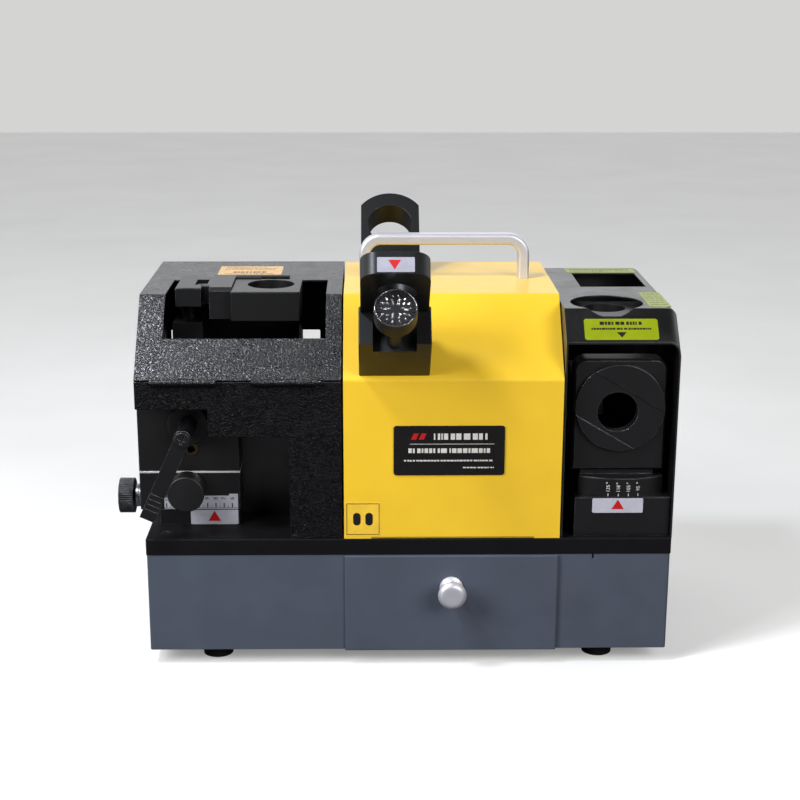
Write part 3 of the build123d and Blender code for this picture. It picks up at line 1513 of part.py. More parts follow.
with BuildPart() as gauge_block:
    with BuildSketch(slope):
        with Locations((gauge_x, sum(gauge_run) / 2)):
            Rectangle(2 * gauge_half, gauge_run[1] - gauge_run[0])
    extrude(amount=gauge_rise)
    chamfer(gauge_block.edges().group_by(Axis.X)[0], length=0.6)
    chamfer(gauge_block.edges().group_by(Axis.X)[-1], length=0.6)
    with BuildSketch(slope.offset(channel_floor)):
        with Locations((sum(channel_x) / 2, sum(gauge_run) / 2)):
            Rectangle(channel_x[1] - channel_x[0], gauge_run[1] - gauge_run[0])
    extrude(amount=gauge_rise - channel_floor, mode=Mode.SUBTRACT)
gauge_block.part.label = "gauge_block"
export_step(gauge_block.part, "parts/gauge_block.step")

slider_half = (channel_x[1] - channel_x[0]) / 2 - run_clearance
end_view = Plane(origin=slope.origin, x_dir=slope.x_dir, z_dir=-slope.y_dir)

with BuildPart() as gauge_slide:
    with BuildSketch(slope.offset(channel_floor + run_clearance)):
        with Locations((sum(channel_x) / 2, (gauge_run[0] + head_run[1]) / 2)):
            Rectangle(2 * slider_half, head_run[1] - gauge_run[0])
    extrude(amount=slider_top - channel_floor - run_clearance)
    with BuildSketch(slope.offset(slider_top)):
        with Locations((sum(channel_x) / 2, sum(head_run) / 2)):
            Rectangle(2 * slider_half, head_run[1] - head_run[0])
    extrude(amount=gauge_rise + 1 - slider_top)
    # head with rounded outer corners, bored along the slope for the chuck
    with BuildSketch(end_view.offset(-head_run[1])):
        with Locations((sum(head_x) / 2, (gauge_rise + 0.2 + head_rise) / 2)):
            Rectangle(head_x[1] - head_x[0], head_rise - gauge_rise - 0.2)
    extrude(amount=head_run[1] - head_run[0])
    along_slope = gauge_slide.edges().filter_by(Axis((0, 0, 0), slope.y_dir))
    fillet(along_slope.sort_by(Axis(slope.origin, slope.z_dir))[-2:], radius=11.0)
    with BuildSketch(end_view.offset(-head_run[1])):
        with Locations((gauge_x, gauge_bore_rise)):
            Circle(gauge_bore_radius + 4)
    extrude(amount=-6.0)
    with BuildSketch(end_view.offset(-head_run[1] - 6.0)):
        with Locations((gauge_x, gauge_bore_rise)):
            Circle(gauge_bore_radius)
    extrude(amount=head_run[1] - head_run[0] + 6.0, mode=Mode.SUBTRACT)
    # blind hole for the clamp knob's stud
    with BuildSketch(slope.offset(slider_top)):
        with Locations((gauge_x, gauge_knob_height)):
            Circle(3.0 + run_clearance)
    extrude(amount=-8.0, mode=Mode.SUBTRACT)
gauge_slide.part.label = "gauge_slide"
export_step(gauge_slide.part, "parts/gauge_slide.step")

with BuildPart() as gauge_knob:
    with BuildSketch(slope.offset(gauge_knob_rise[0])):
        with Locations((gauge_x, gauge_knob_height)):
            Circle(gauge_knob_radius)
    extrude(amount=gauge_knob_rise[1] - gauge_knob_rise[0])
    fillet(gauge_knob.edges().sort_by(Axis(slope.origin, slope.z_dir))[0], radius=1.0)
    with BuildSketch(slope.offset(gauge_knob_rise[1])):
        with Locations((gauge_x, gauge_knob_height)):
            Circle(gauge_knob_radius - 0.9)
    extrude(amount=-1.2, mode=Mode.SUBTRACT)
    with BuildSketch(slope.offset(slider_top + 0.1)):
        with Locations((gauge_x, gauge_knob_height)):
            Circle(6.5)
    extrude(amount=gauge_knob_rise[0] - slider_top - 0.1)
    with BuildSketch(slope.offset(slider_top + 0.1)):
        with Locations((gauge_x, gauge_knob_height)):
            Circle(3.0)
    extrude(amount=-7.0)
gauge_knob.part.label = "gauge_knob"
export_step(gauge_knob.part, "parts/gauge_knob.step")


# ---------------------------------------------------------------- chuck ring
ring_half = 22.5
ring_arch_radius = 28.0
pedestal_y = (27.0, 64.0)
ring_plane = Plane(origin=ring_centre, x_dir=(1, 0, 0), z_dir=slope.z_dir)

with BuildPart() as chuck_ring:
    with BuildSketch(ring_plane):
        Circle(ring_arch_radius)
        with Locations((0, -35)):
            Rectangle(2 * ring_half, 70)
        Rectangle(2 * ring_half, 200, mode=Mode.INTERSECT)
    extrude(amount=-ring_thickness)
    with BuildSketch(Plane.XY.offset(cover_top)):
        with Locations((ring_x, sum(pedestal_y) / 2)):
            Rectangle(2 * ring_half, pedestal_y[1] - pedestal_y[0])
    extrude(amount=14.0)
    # cut level with the cover's top, and square behind the handle
    with BuildSketch(Plane.XY.offset(cover_top)):
        with Locations((ring_x, pedestal_y[0])):
            Rectangle(4 * ring_half, 200)
    extrude(amount=-60.0, mode=Mode.SUBTRACT)
    with BuildSketch(Plane.XY.offset(cover_top)):
        with Locations((ring_x, pedestal_y[0] - 20)):
            Rectangle(4 * ring_half, 40)
    extrude(amount=14.0, mode=Mode.SUBTRACT)
    with BuildSketch(ring_plane):
        Circle(ring_bore_radius)
    extrude(amount=-60.0, mode=Mode.SUBTRACT)
chuck_ring.part.label = "chuck_ring"
export_step(chuck_ring.part, "parts/chuck_ring.step")
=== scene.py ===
import math
import random

import bmesh
import bpy
from mathutils import Matrix, Vector
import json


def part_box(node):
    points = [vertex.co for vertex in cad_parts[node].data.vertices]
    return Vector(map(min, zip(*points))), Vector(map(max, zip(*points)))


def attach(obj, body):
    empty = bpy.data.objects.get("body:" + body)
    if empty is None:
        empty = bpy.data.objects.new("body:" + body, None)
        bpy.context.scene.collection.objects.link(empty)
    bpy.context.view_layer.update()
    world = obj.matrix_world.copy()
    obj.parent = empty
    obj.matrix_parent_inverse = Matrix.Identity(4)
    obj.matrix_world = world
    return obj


# Looks of the combined tap and drill grinder: materials, printed marks and small surface pieces,
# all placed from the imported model. Lengths named here are millimetres.

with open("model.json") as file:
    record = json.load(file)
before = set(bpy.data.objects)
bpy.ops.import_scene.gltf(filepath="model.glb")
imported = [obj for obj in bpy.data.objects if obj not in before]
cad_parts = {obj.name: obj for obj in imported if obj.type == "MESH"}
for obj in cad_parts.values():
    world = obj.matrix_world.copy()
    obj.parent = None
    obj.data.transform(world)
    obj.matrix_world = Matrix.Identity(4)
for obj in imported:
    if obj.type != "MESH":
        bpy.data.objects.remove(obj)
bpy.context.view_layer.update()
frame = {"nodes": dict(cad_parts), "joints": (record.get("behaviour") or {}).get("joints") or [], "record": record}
random.seed(7)

MM = 0.001
RIGHT = Vector((1, 0, 0))
BACK = Vector((0, 1, 0))
UP = Vector((0, 0, 1))


def srgb(red, green, blue):
    """A colour given as 0 to 255 screen values, as the linear RGBA that shaders take."""
    linear = []
    for value in (red, green, blue):
        value /= 255
        linear.append(value / 12.92 if value <= 0.04045 else ((value + 0.055) / 1.055) ** 2.4)
    return (*linear, 1.0)


# ---------------------------------------------------------------- shader building blocks
class Shader:
    """One material's node tree. Texture sizes are in millimetres and stick to the piece."""

    def __init__(self, name):
        self.material = bpy.data.materials.new(name)
        self.material.use_nodes = True
        self.tree = self.material.node_tree
        self.tree.nodes.clear()
        place = self.node("ShaderNodeTexCoord").outputs["Object"]
        self.place = self.vector("MULTIPLY", place, (1 / MM, 1 / MM, 1 / MM))
        self.edges = None

    def node(self, kind, inputs=None, **settings):
        made = self.tree.nodes.new(kind)
        for key, value in settings.items():
            setattr(made, key, value)
        for key, value in (inputs or {}).items():
            if isinstance(value, bpy.types.NodeSocket):
                self.tree.links.new(value, made.inputs[key])
            else:
                made.inputs[key].default_value = value
        return made

    def vector(self, operation, a, b):
        return self.node("ShaderNodeVectorMath", {0: a, 1: b}, operation=operation).outputs[0]

    def math(self, operation, a, b=0.0, clamp=False):
        made = self.node("ShaderNodeMath", {0: a, 1: b}, operation=operation, use_clamp=clamp)
        return made.outputs[0]

    def noise(self, size, detail=2.0, roughness=0.5, stretch=(1, 1, 1), distortion=0.0):
        """Soft noise with lumps of about this size; stretch above 1 makes it finer along an axis."""
        vector = self.vector("MULTIPLY", self.place, stretch)
        inputs = {
            "Vector": vector,
            "Scale": 1 / size,
            "Detail": detail,
            "Roughness": roughness,
            "Distortion": distortion,
        }
        return self.node("ShaderNodeTexNoise", inputs).outputs[0]

    def cells(self, size, feature="SMOOTH_F1", jitter=1.0):
        inputs = {"Vector": self.place, "Scale": 1 / size, "Randomness": jitter}
        return self.node("ShaderNodeTexVoronoi", inputs, feature=feature).outputs["Distance"]

    def remap(self, value, low, high, to_low=0.0, to_high=1.0):
        inputs = {0: value, 1: low, 2: high, 3: to_low, 4: to_high}
        return self.node("ShaderNodeMapRange", inputs).outputs[0]

    def mix(self, factor, a, b):
        made = self.node("ShaderNodeMix", {0: factor, 6: a, 7: b}, data_type="RGBA")
        return made.outputs[2]

    def tint(self, colour, factor):
        """The colour made lighter or darker by a factor that varies over the piece."""
        grey = self.node("ShaderNodeCombineXYZ", {0: factor, 1: factor, 2: factor}).outputs[0]
        return self.vector("MULTIPLY", colour[:3], grey)

    def edge_mask(self, radius=0.7):
        """1 along the piece's outer and inner edges, 0 on its faces."""
        if self.edges is None:
            rounded = self.node("ShaderNodeBevel", {"Radius": radius * MM}, samples=4).outputs[0]
            flat = self.node("ShaderNodeNewGeometry").outputs["Normal"]
            dot = self.node(
                "ShaderNodeVectorMath", {0: rounded, 1: flat}, operation="DOT_PRODUCT"
            ).outputs["Value"]
            self.edges = (rounded, self.remap(dot, 0.995, 0.80))
        return self.edges

    def bump(self, height, depth, normal=None, strength=1.0):
        inputs = {"Height": height, "Distance": depth * MM, "Strength": strength}
        if normal is not None:
            inputs["Normal"] = normal
        return self.node("ShaderNodeBump", inputs).outputs[0]

    def finish(self, **inputs):
        named = {key.replace("_", " "): value for key, value in inputs.items()}
        surface = self.node("ShaderNodeBsdfPrincipled", named).outputs[0]
        self.node("ShaderNodeOutputMaterial", {"Surface": surface})
        return self.material


# ---------------------------------------------------------------- finishes
def paint(
    name, colour, roughness, grain=0.6, depth=0.03, coat=0.0, wear_and_highlight_colour=None, wear_and_highlight=0.35, mottle=0.08,
    specular=0.5,
):
    """Powder coat or sprayed paint: fine skin, slow colour drift, and lightened edges, partly rubbed wear and
    partly a painted edge highlight.
    """
    s = Shader(name)
    rounded, edge = s.edge_mask()
    drift = s.remap(s.noise(38.0, 3.0), 0.3, 0.7, 1 - mottle, 1 + mottle)
    tone = s.tint(colour, drift)
    # Edges go toward the lighter worn colour: partly rubbed wear, partly a painted edge highlight.
    edge_wear_and_highlight = s.math("MULTIPLY", edge, s.remap(s.noise(2.6, 4.0, 0.6), 0.42, 0.72, 0.0, wear_and_highlight), clamp=True)
    tone = s.mix(edge_wear_and_highlight, tone, wear_and_highlight_colour or colour)
    smudge = s.remap(s.noise(24.0, 5.0, 0.62, distortion=0.6), 0.35, 0.7, -0.05, 0.07)
    skin = s.noise(grain, 3.0, 0.55)
    normal = s.bump(skin, depth, rounded)
    return s.finish(
        Base_Color=tone,
        Roughness=s.math("ADD", smudge, roughness, clamp=True),
        Normal=normal,
        Coat_Weight=coat,
        Coat_Roughness=0.12,
        Specular_IOR_Level=specular,
    )


def hammered(name, colour, glint):
    """Black hammertone: uneven dimples whose rims catch the light, least on upright faces; ridge tops and edges
    also get a lighter glint colour, a painted glint.
    """
    s = Shader(name)
    rounded, edge = s.edge_mask(0.9)
    worms = s.noise(2.3, 1.2, 0.5, stretch=(0.75, 1, 1), distortion=2.2)
    ridge = s.remap(worms, 0.40, 0.60)
    pits = s.cells(1.9)
    height = s.math("ADD", ridge, s.math("MULTIPLY", pits, 0.5))
    # Ridge tops, and more faintly the edges, take the lighter glint colour: painted glints.
    painted_glint_rims = s.remap(worms, 0.50, 0.60, 0.0, 0.9)
    tone = s.mix(painted_glint_rims, colour, glint)
    tone = s.mix(s.math("MULTIPLY", edge, 0.3), tone, glint)
    facing_up = s.node("ShaderNodeSeparateXYZ", {0: rounded}).outputs["Z"]
    strength = s.remap(facing_up, 0.05, 0.55, 0.5, 1.0)
    normal = s.bump(height, 0.42, rounded, strength)
    gloss = s.remap(facing_up, 0.05, 0.55, 0.18, 0.95)
    rough = s.remap(s.noise(16.0, 3.0), 0.3, 0.7, 0.26, 0.36)
    return s.finish(Base_Color=tone, Roughness=rough, Normal=normal, Specular_IOR_Level=gloss)


def metal(
    name, colour, roughness, lay=(1, 1, 1), lay_size=0.5, depth=0.012, metallic=1.0, stain=0.12,
    wear_and_highlight=0.3,
):
    """Machined, ground, drawn or plated metal, with lighter edges: partly wear, partly a painted edge highlight.
    lay stretches the tool marks across their direction.
    """
    s = Shader(name)
    rounded, edge = s.edge_mask(0.5)
    marks = s.noise(lay_size, 4.0, 0.65, stretch=lay)
    cloud = s.remap(s.noise(14.0, 4.0, 0.6), 0.3, 0.7, 1 - stain, 1.0)
    shade = s.math("MULTIPLY", cloud, s.remap(marks, 0.3, 0.7, 0.88, 1.06))
    tone = s.tint(colour, shade)
    # A lighter tone along the edges: partly wear, partly a painted edge highlight.
    edge_wear_and_highlight_tone = tuple(min(1.0, 0.35 + value) for value in colour[:3]) + (1.0,)
    tone = s.mix(s.math("MULTIPLY", edge, wear_and_highlight), tone, edge_wear_and_highlight_tone)
    rough = s.math("ADD", s.remap(marks, 0.3, 0.7, -0.06, 0.08), roughness, clamp=True)
    return s.finish(
        Base_Color=tone, Metallic=metallic, Roughness=rough, Normal=s.bump(marks, depth, rounded)
    )


def blackened(name, colour, roughness, wear_and_highlight_colour, wear_and_highlight=0.5, lay=(1, 1, 1)):
    """Black oxide or black anodising: a dark skin over metal; its pale, metallic edges are partly metal showing
    through and partly a painted edge highlight.
    """
    s = Shader(name)
    rounded, edge = s.edge_mask(0.6)
    marks = s.noise(0.7, 4.0, 0.6, stretch=lay)
    cloud = s.remap(s.noise(20.0, 4.0, 0.6), 0.3, 0.7, 0.8, 1.25)
    tone = s.tint(colour, cloud)
    # Pale metallic edges in patches: partly the skin worn through, partly a painted edge highlight.
    patchy_wear_and_highlight = s.remap(s.noise(6.0, 4.0, 0.65), 0.40, 0.62, 0.12, wear_and_highlight)
    tone = s.mix(s.math("MULTIPLY", edge, patchy_wear_and_highlight, clamp=True), tone, wear_and_highlight_colour)
    rough = s.math("ADD", s.remap(marks, 0.3, 0.7, -0.05, 0.08), roughness, clamp=True)
    return s.finish(
        Base_Color=tone,
        Metallic=s.math("MULTIPLY", edge, 0.6),
        Roughness=rough,
        Normal=s.bump(marks, 0.014, rounded),
        Specular_IOR_Level=0.5,
    )


def moulded(name, colour, roughness, grain=0.35, depth=0.02, specular=0.5):
    """Moulded plastic or rubber: even colour, spark-eroded texture, slight flow marks."""
    s = Shader(name)
    rounded, edge = s.edge_mask(0.6)
    flow = s.remap(s.noise(12.0, 3.0, 0.5, stretch=(1, 1, 0.4)), 0.3, 0.7, 0.85, 1.15)
    tone = s.tint(colour, flow)
    # Edges lightened toward a paler tone: a painted edge highlight.
    pale = tuple(min(1.0, 0.02 + 1.5 * value) for value in colour[:3]) + (1.0,)
    tone = s.mix(s.math("MULTIPLY", edge, 0.3), tone, pale)
    grainy = s.noise(grain, 2.0, 0.5)
    rough = s.remap(grainy, 0.3, 0.7, roughness - 0.05, roughness + 0.05)
    return s.finish(
        Base_Color=tone, Roughness=rough, Normal=s.bump(grainy, depth, rounded), Specular_IOR_Level=specular
    )


def laminated(name):
    """Stacked electrical steel: fine dark and light sheets along the motor's axis."""
    s = Shader(name)
    sheets = s.noise(0.5, 1.0, stretch=(1, 0.02, 0.02))
    tone = s.mix(s.remap(sheets, 0.4, 0.6), srgb(70, 66, 62), srgb(142, 136, 130))
    return s.finish(Base_Color=tone, Metallic=0.8, Roughness=0.45, Normal=s.bump(sheets, 0.06))


def abrasive(name):
    """Grit bonded to a wheel, with bright facets among dull bond."""
    s = Shader(name)
    grit = s.cells(0.5, "F1")
    tone = s.mix(s.remap(grit, 0.15, 0.5), srgb(150, 140, 124), srgb(66, 60, 55))
    return s.finish(
        Base_Color=tone, Roughness=s.remap(grit, 0.1, 0.5, 0.35, 0.95), Normal=s.bump(grit, 0.18)
    )


def label_stock(name, colour, roughness=0.40, coat=0.15):
    """Printed film: slight fade, a little dirt, a soft gloss."""
    s = Shader(name)
    fade = s.remap(s.noise(11.0, 4.0, 0.6), 0.3, 0.7, 0.88, 1.05)
    tone = s.tint(colour, fade)
    dirt = s.remap(s.noise(1.4, 4.0, 0.7), 0.60, 0.75, 0.0, 0.25)
    tone = s.mix(dirt, tone, srgb(70, 66, 56))
    dull = s.remap(s.noise(6.0, 3.0), 0.3, 0.7, roughness - 0.06, roughness + 0.1)
    wave = s.bump(s.noise(7.0, 2.0), 0.05)
    return s.finish(
        Base_Color=tone,
        Roughness=dull,
        Coat_Weight=coat,
        Coat_Roughness=0.2,
        Normal=wave,
        Specular_IOR_Level=0.25,
    )


def ink(name, colour, roughness=0.45):
    """Printing ink, a little uneven in cover."""
    s = Shader(name)
    cover = s.remap(s.noise(0.8, 3.0, 0.6), 0.3, 0.7, 0.82, 1.08)
    tone = s.tint(colour, cover)
    return s.finish(Base_Color=tone, Roughness=roughness, Normal=s.bump(s.noise(0.5), 0.01))


FLOOR_GLOW = 0.35


def studio_floor(name):
    """Pale, with a slight glow, to the camera; dark to the object, so that black faces stay black."""
    s = Shader(name)
    pale = s.mix(s.remap(s.noise(220.0, 2.0), 0.3, 0.7), srgb(214, 214, 212), srgb(222, 222, 220))
    seen = s.node("ShaderNodeLightPath").outputs["Is Camera Ray"]
    tone = s.mix(seen, srgb(84, 84, 86), pale)
    return s.finish(
        Base_Color=tone,
        Roughness=0.75,
        Normal=s.bump(s.noise(3.0), 0.01),
        Emission_Color=srgb(214, 214, 212),
        Emission_Strength=s.math("MULTIPLY", seen, FLOOR_GLOW),
    )


# The worn colours lighten the edges of these finishes: partly wear, partly a painted edge highlight.
FINISHES = {
    "powder_grey": paint(
        "powder_grey", srgb(72, 79, 92), 0.50, grain=0.7, depth=0.035, wear_and_highlight_colour=srgb(128, 134, 142)
    ),
    "deck_black": paint(
        "deck_black", srgb(15, 15, 17), 0.58, grain=0.9, depth=0.015, wear_and_highlight_colour=srgb(84, 84, 92),
        specular=0.12,
    ),
    "yellow_paint": paint(
        "yellow_paint", srgb(238, 194, 44), 0.42, grain=3.4, depth=0.018, coat=0.25, specular=0.4,
        wear_and_highlight_colour=srgb(246, 212, 96), wear_and_highlight=0.5, mottle=0.03,
    ),
    # crinkle_black's second colour is a painted glint for the ridges and edges.
    "crinkle_black": hammered("crinkle_black", srgb(6, 6, 7), srgb(21, 21, 25)),
    "sheet_black": paint(
        "sheet_black", srgb(7, 7, 7), 0.34, grain=0.9, depth=0.07, wear_and_highlight_colour=srgb(70, 70, 74),
        specular=0.85,
    ),
    "black_oxide": blackened("black_oxide", srgb(11, 11, 13), 0.38, srgb(150, 150, 158), wear_and_highlight=0.9),
    "black_anodised": blackened(
        "black_anodised", srgb(14, 14, 14), 0.38, srgb(120, 120, 126), wear_and_highlight=0.5
    ),
    "bright_steel": metal(
        "bright_steel", srgb(232, 232, 234), 0.22, lay=(0.05, 1, 1), lay_size=0.3, metallic=0.4
    ),
    "steel": metal("steel", srgb(168, 168, 172), 0.32, lay=(1, 0.1, 0.1), lay_size=0.3),
    "zinc": metal("zinc", srgb(186, 190, 200), 0.30, lay_size=1.2),
    "anodised": metal(
        "anodised", srgb(216, 216, 223), 0.42, lay_size=0.35, depth=0.006, metallic=0.6, stain=0.05
    ),
    "scale_silver": metal(
        "scale_silver", srgb(206, 206, 218), 0.48, lay=(0.06, 1, 1), lay_size=0.3, metallic=0.3
    ),
    "cast_grey": paint(
        "cast_grey", srgb(96, 102, 108), 0.62, grain=1.4, depth=0.16, wear_and_highlight_colour=srgb(150, 150, 150)
    ),
    "end_bell": metal("end_bell", srgb(172, 174, 178), 0.48, lay_size=1.6, depth=0.08, metallic=0.9),
    "laminations": laminated("laminations"),
    "abrasive": abrasive("abrasive"),
    "brass": metal("brass", srgb(108, 92, 62), 0.34, lay_size=0.4, stain=0.4),
    "rubber": moulded("rubber", srgb(16, 16, 16), 0.72, grain=0.6, depth=0.05, specular=0.3),
    "black_plastic": moulded("black_plastic", srgb(19, 19, 20), 0.42),
    "rocker_plastic": moulded("rocker_plastic", srgb(176, 22, 20), 0.24, depth=0.004),
    "nylon": moulded("nylon", srgb(222, 220, 208), 0.42),
    "capacitor_can": metal("capacitor_can", srgb(200, 200, 204), 0.26, lay=(1, 1, 0.08)),
    "plate_black": label_stock("plate_black", srgb(22, 20, 20), 0.30, 0.2),
}
EXTRA = {
    "label_amber": label_stock("label_amber", srgb(214, 170, 104)),
    "label_lime": label_stock("label_lime", srgb(134, 148, 10)),
    "label_yellow": label_stock("label_yellow", srgb(240, 196, 60)),
    "label_silver": label_stock("label_silver", srgb(158, 158, 170), 0.36, 0.2),
    "ink_black": ink("ink_black", srgb(14, 14, 14)),
    "ink_white": ink("ink_white", srgb(214, 212, 206)),
    "ink_red": ink("ink_red", srgb(190, 16, 20)),
    "polished": metal("polished", srgb(232, 232, 236), 0.16, lay_size=0.6, depth=0.003, stain=0.03),
}

for row in frame["record"]["subparts"]:
    slots = frame["nodes"][row["node"]].data.materials
    for index in range(len(slots)):
        slots[index] = FINISHES[row["material_slot"]]


# ---------------------------------------------------------------- places and outlines
class Face:
    """A flat place on the object, with its own right, up and outward directions."""

    def __init__(self, origin, right=RIGHT, up=UP):
        self.origin = Vector(origin)
        self.right = Vector(right).normalized()
        self.up = Vector(up).normalized()
        self.out = self.right.cross(self.up)

    def point(self, x, y, lift=0.0):
        return self.origin + MM * (x * self.right + y * self.up + lift * self.out)

    def matrix(self, x, y, lift, turn):
        axes = Matrix((self.right, self.up, self.out)).transposed().to_4x4()
        spot = Matrix.Translation(self.point(x, y, lift))
        return spot @ axes @ Matrix.Rotation(math.radians(turn), 4, "Z")


def rectangle(x, y, width, height):
    a, b = width / 2, height / 2
    return [(x - a, y - b), (x + a, y - b), (x + a, y + b), (x - a, y + b)]


def rounded(x, y, width, height, radius, steps=6):
    outline = []
    corners = ((1, -1, -90), (1, 1, 0), (-1, 1, 90), (-1, -1, 180))
    for side_x, side_y, start in corners:
        centre_x = x + side_x * (width / 2 - radius)
        centre_y = y + side_y * (height / 2 - radius)
        for step in range(steps + 1):
            angle = math.radians(start + 90 * step / steps)
            outline.append((centre_x + radius * math.cos(angle), centre_y + radius * math.sin(angle)))
    return outline


def pointer(x, y, width, height):
    """A triangle with its point at (x, y); a negative height points it down."""
    base = [(x - width / 2, y - height), (x + width / 2, y - height), (x, y)]
    return base if height > 0 else base[::-1]


def prism(mesh, face, outline, low, high):
    """Adds a closed slab over the outline, from low to high above the face."""
    bottom = [mesh.verts.new(face.point(x, y, low)) for x, y in outline]
    top = [mesh.verts.new(face.point(x, y, high)) for x, y in outline]
    mesh.faces.new(top)
    mesh.faces.new(bottom[::-1])
    for index in range(len(outline)):
        after = (index + 1) % len(outline)
        mesh.faces.new((bottom[index], bottom[after], top[after], top[index]))


def digits(mesh, face, text, x, y, size, low, high, turn=0.0):
    """Adds raised digits centred on (x, y)."""
    curve = bpy.data.curves.new("digits", "FONT")
    curve.body = text
    curve.size = size * MM
    curve.extrude = (high - low) * MM / 2
    curve.align_x = "CENTER"
    curve.align_y = "CENTER"
    holder = bpy.data.objects.new("digits", curve)
    bpy.context.scene.collection.objects.link(holder)
    bpy.context.view_layer.update()
    shape = bpy.data.meshes.new_from_object(holder.evaluated_get(bpy.context.evaluated_depsgraph_get()))
    shape.transform(face.matrix(x, y, (low + high) / 2, turn))
    mesh.from_mesh(shape)
    bpy.data.objects.remove(holder)
    bpy.data.curves.remove(curve)
    bpy.data.meshes.remove(shape)


def piece(name, body, material, build):
    """Makes a mesh piece with build(mesh), gives it its material, and lets it ride on a body."""
    mesh = bmesh.new()
    build(mesh)
    bmesh.ops.recalc_face_normals(mesh, faces=mesh.faces)
    data = bpy.data.meshes.new(name)
    mesh.to_mesh(data)
    mesh.free()
    made = bpy.data.objects.new(name, data)
    made.data.materials.append(material)
    bpy.context.scene.collection.objects.link(made)
    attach(made, body)
    return made


FILM = 0.15
INK = 0.05


def label(name, body, face, width, height, stock, marks, radius=1.2, sunk=0.0):
    """A film label centred on the face, and its printing, given as {ink: [outlines]}."""
    piece(
        name, body, EXTRA[stock],
        lambda mesh: prism(mesh, face, rounded(0, 0, width, height, radius), sunk, sunk + FILM),
    )
    for colour, outlines in marks.items():
        def build(mesh, outlines=outlines):
            for outline in outlines:
                prism(mesh, face, outline, sunk + FILM, sunk + FILM + INK)

        piece(f"{name}_{colour}", body, EXTRA[colour], build)


def text_like(left, right, y, height, gap=0.5, longest=3.2):
    """A row of plain dashes of uneven length, where a line of words would be."""
    outlines = []
    x = left
    while x < right - 0.8:
        width = min(random.uniform(1.0, longest), right - x)
        outlines.append(rectangle(x + width / 2, y, width, height))
        x += width + gap * random.choice((1, 1, 2.2))
    return outlines


def joint(name):
    """A joint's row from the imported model."""
    return next(j for j in frame["joints"] if j["name"] == name)


# ---------------------------------------------------------------- tap side
def tap_lid_label():
    low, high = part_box("tap_lid")
    face = Face((low.x + 73.4 * MM, high.y - 40.5 * MM, high.z), RIGHT, BACK)
    marks = {
        "ink_black": text_like(-19, 19, -13.5, 1.6)
        + text_like(-13, 13, -7.5, 4.4, longest=4.2)
        + text_like(-20, 20, 3, 1.2)
        + text_like(-20, 20, 8, 1.2)
        + text_like(-20, 12, 13, 1.2),
    }
    label("tap_lid_label", "lid", face, 49, 35, "label_amber", marks)


def tap_scale():
    """Ticks and numbers on the carriage scale, and the two pointers."""
    low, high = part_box("scale_strip")
    face = Face((high.x, low.y, low.z))
    pitch = 6.05

    def build(mesh):
        for index in range(9):
            x = -4.2 - pitch * index
            prism(mesh, face, rectangle(x, 3.0, 0.8, 3.4), 0, INK)
            prism(mesh, face, rectangle(x - pitch / 2, 2.2, 0.3, 1.8), 0, INK)
            digits(mesh, face, str(index + 6), x, 8.3, 4.6, 0, INK, turn=90)
        prism(mesh, face, rectangle(-27.5, 0.9, 54.0, 0.35), 0, INK)

    piece("scale_print", "tap_carriage", EXTRA["ink_black"], build)

    low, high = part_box("tap_slide")
    slide = Face((high.x, low.y, low.z))
    piece(
        "slide_pointer", "tap_carriage", EXTRA["ink_black"],
        lambda mesh: prism(mesh, slide, pointer(-8.2, 14.2, 5.0, -4.6), 0, INK),
    )
    low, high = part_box("index_plate")
    plate = Face(((low.x + high.x) / 2, low.y, high.z))
    piece(
        "index_pointer", "frame", EXTRA["ink_red"],
        lambda mesh: prism(mesh, plate, pointer(0, -0.4, 9.4, 8.0), 0, INK),
    )


def feed_screw_collar():
    """A bright turned sleeve over the neck between the thumbscrew and the slide."""
    axis = Vector(joint("feed_screw_turn")["pos_m"])
    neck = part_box("tap_slide")[0].x
    face = Face((neck, axis.y, axis.z), BACK, UP)

    def build(mesh):
        ring_band(mesh, face, 8.0, 8.4, -2.2, -0.5)
        ring_band(mesh, face, 8.0, 8.55, -4.6, -2.6)

    piece("feed_screw_collar", "thumbscrew", FINISHES["steel"], build)


# ---------------------------------------------------------------- yellow cover and gauge
def name_plate_print():
    low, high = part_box("name_plate")
    face = Face(((low.x + high.x) / 2, low.y, (low.z + high.z) / 2))

    def build(mesh):
        for outline in (
            text_like(-11, 27, 10.4, 4.6, 0.8, 4.8)
            + text_like(-29, 29, 0.0, 3.4, 0.8, 4.4)
            + text_like(-32, 32, -7.4, 1.1, 0.4, 2.6)
            + text_like(10, 32, -12.6, 0.9, 0.4, 2.2)
            + [rectangle(2, 4.9, 60, 0.35)]
        ):
            prism(mesh, face, outline, 0, INK)

    piece("name_plate_white", "frame", EXTRA["ink_white"], build)

    def emblem(mesh):
        """A plain slanted pair of bars, for the maker's sign."""
        for x in (-25, -19.5):
            slanted = [(x - 2.2, 8.2), (x + 1.4, 8.2), (x + 3.4, 12.8), (x - 0.2, 12.8)]
            prism(mesh, face, slanted, 0, INK)

    piece("name_plate_red", "frame", EXTRA["ink_red"], emblem)


def corner_sticker():
    low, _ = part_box("motor_cover")
    face = Face((low.x + 13.6 * MM, low.y, low.z + 15.0 * MM))
    border = [
        rectangle(0, 11.6, 23.2, 0.45),
        rectangle(0, -11.6, 23.2, 0.45),
        rectangle(-11.6, 0, 0.45, 23.2),
        rectangle(11.6, 0, 0.45, 23.2),
    ]
    marks = {"ink_black": border + [rounded(-4.4, 0, 5.4, 9.6, 2.6), rounded(4.4, 0, 5.4, 9.6, 2.6)]}
    label("corner_sticker", "frame", face, 25.4, 25.4, "label_yellow", marks)


def gauge_axes():
    """The slope's direction, its outward normal, and the clamp knob's axis point."""
    along = Vector(joint("gauge_slide_move")["axis"])
    out = Vector(joint("gauge_knob_turn")["axis"])
    return along, out, Vector(joint("gauge_knob_turn")["pos_m"])


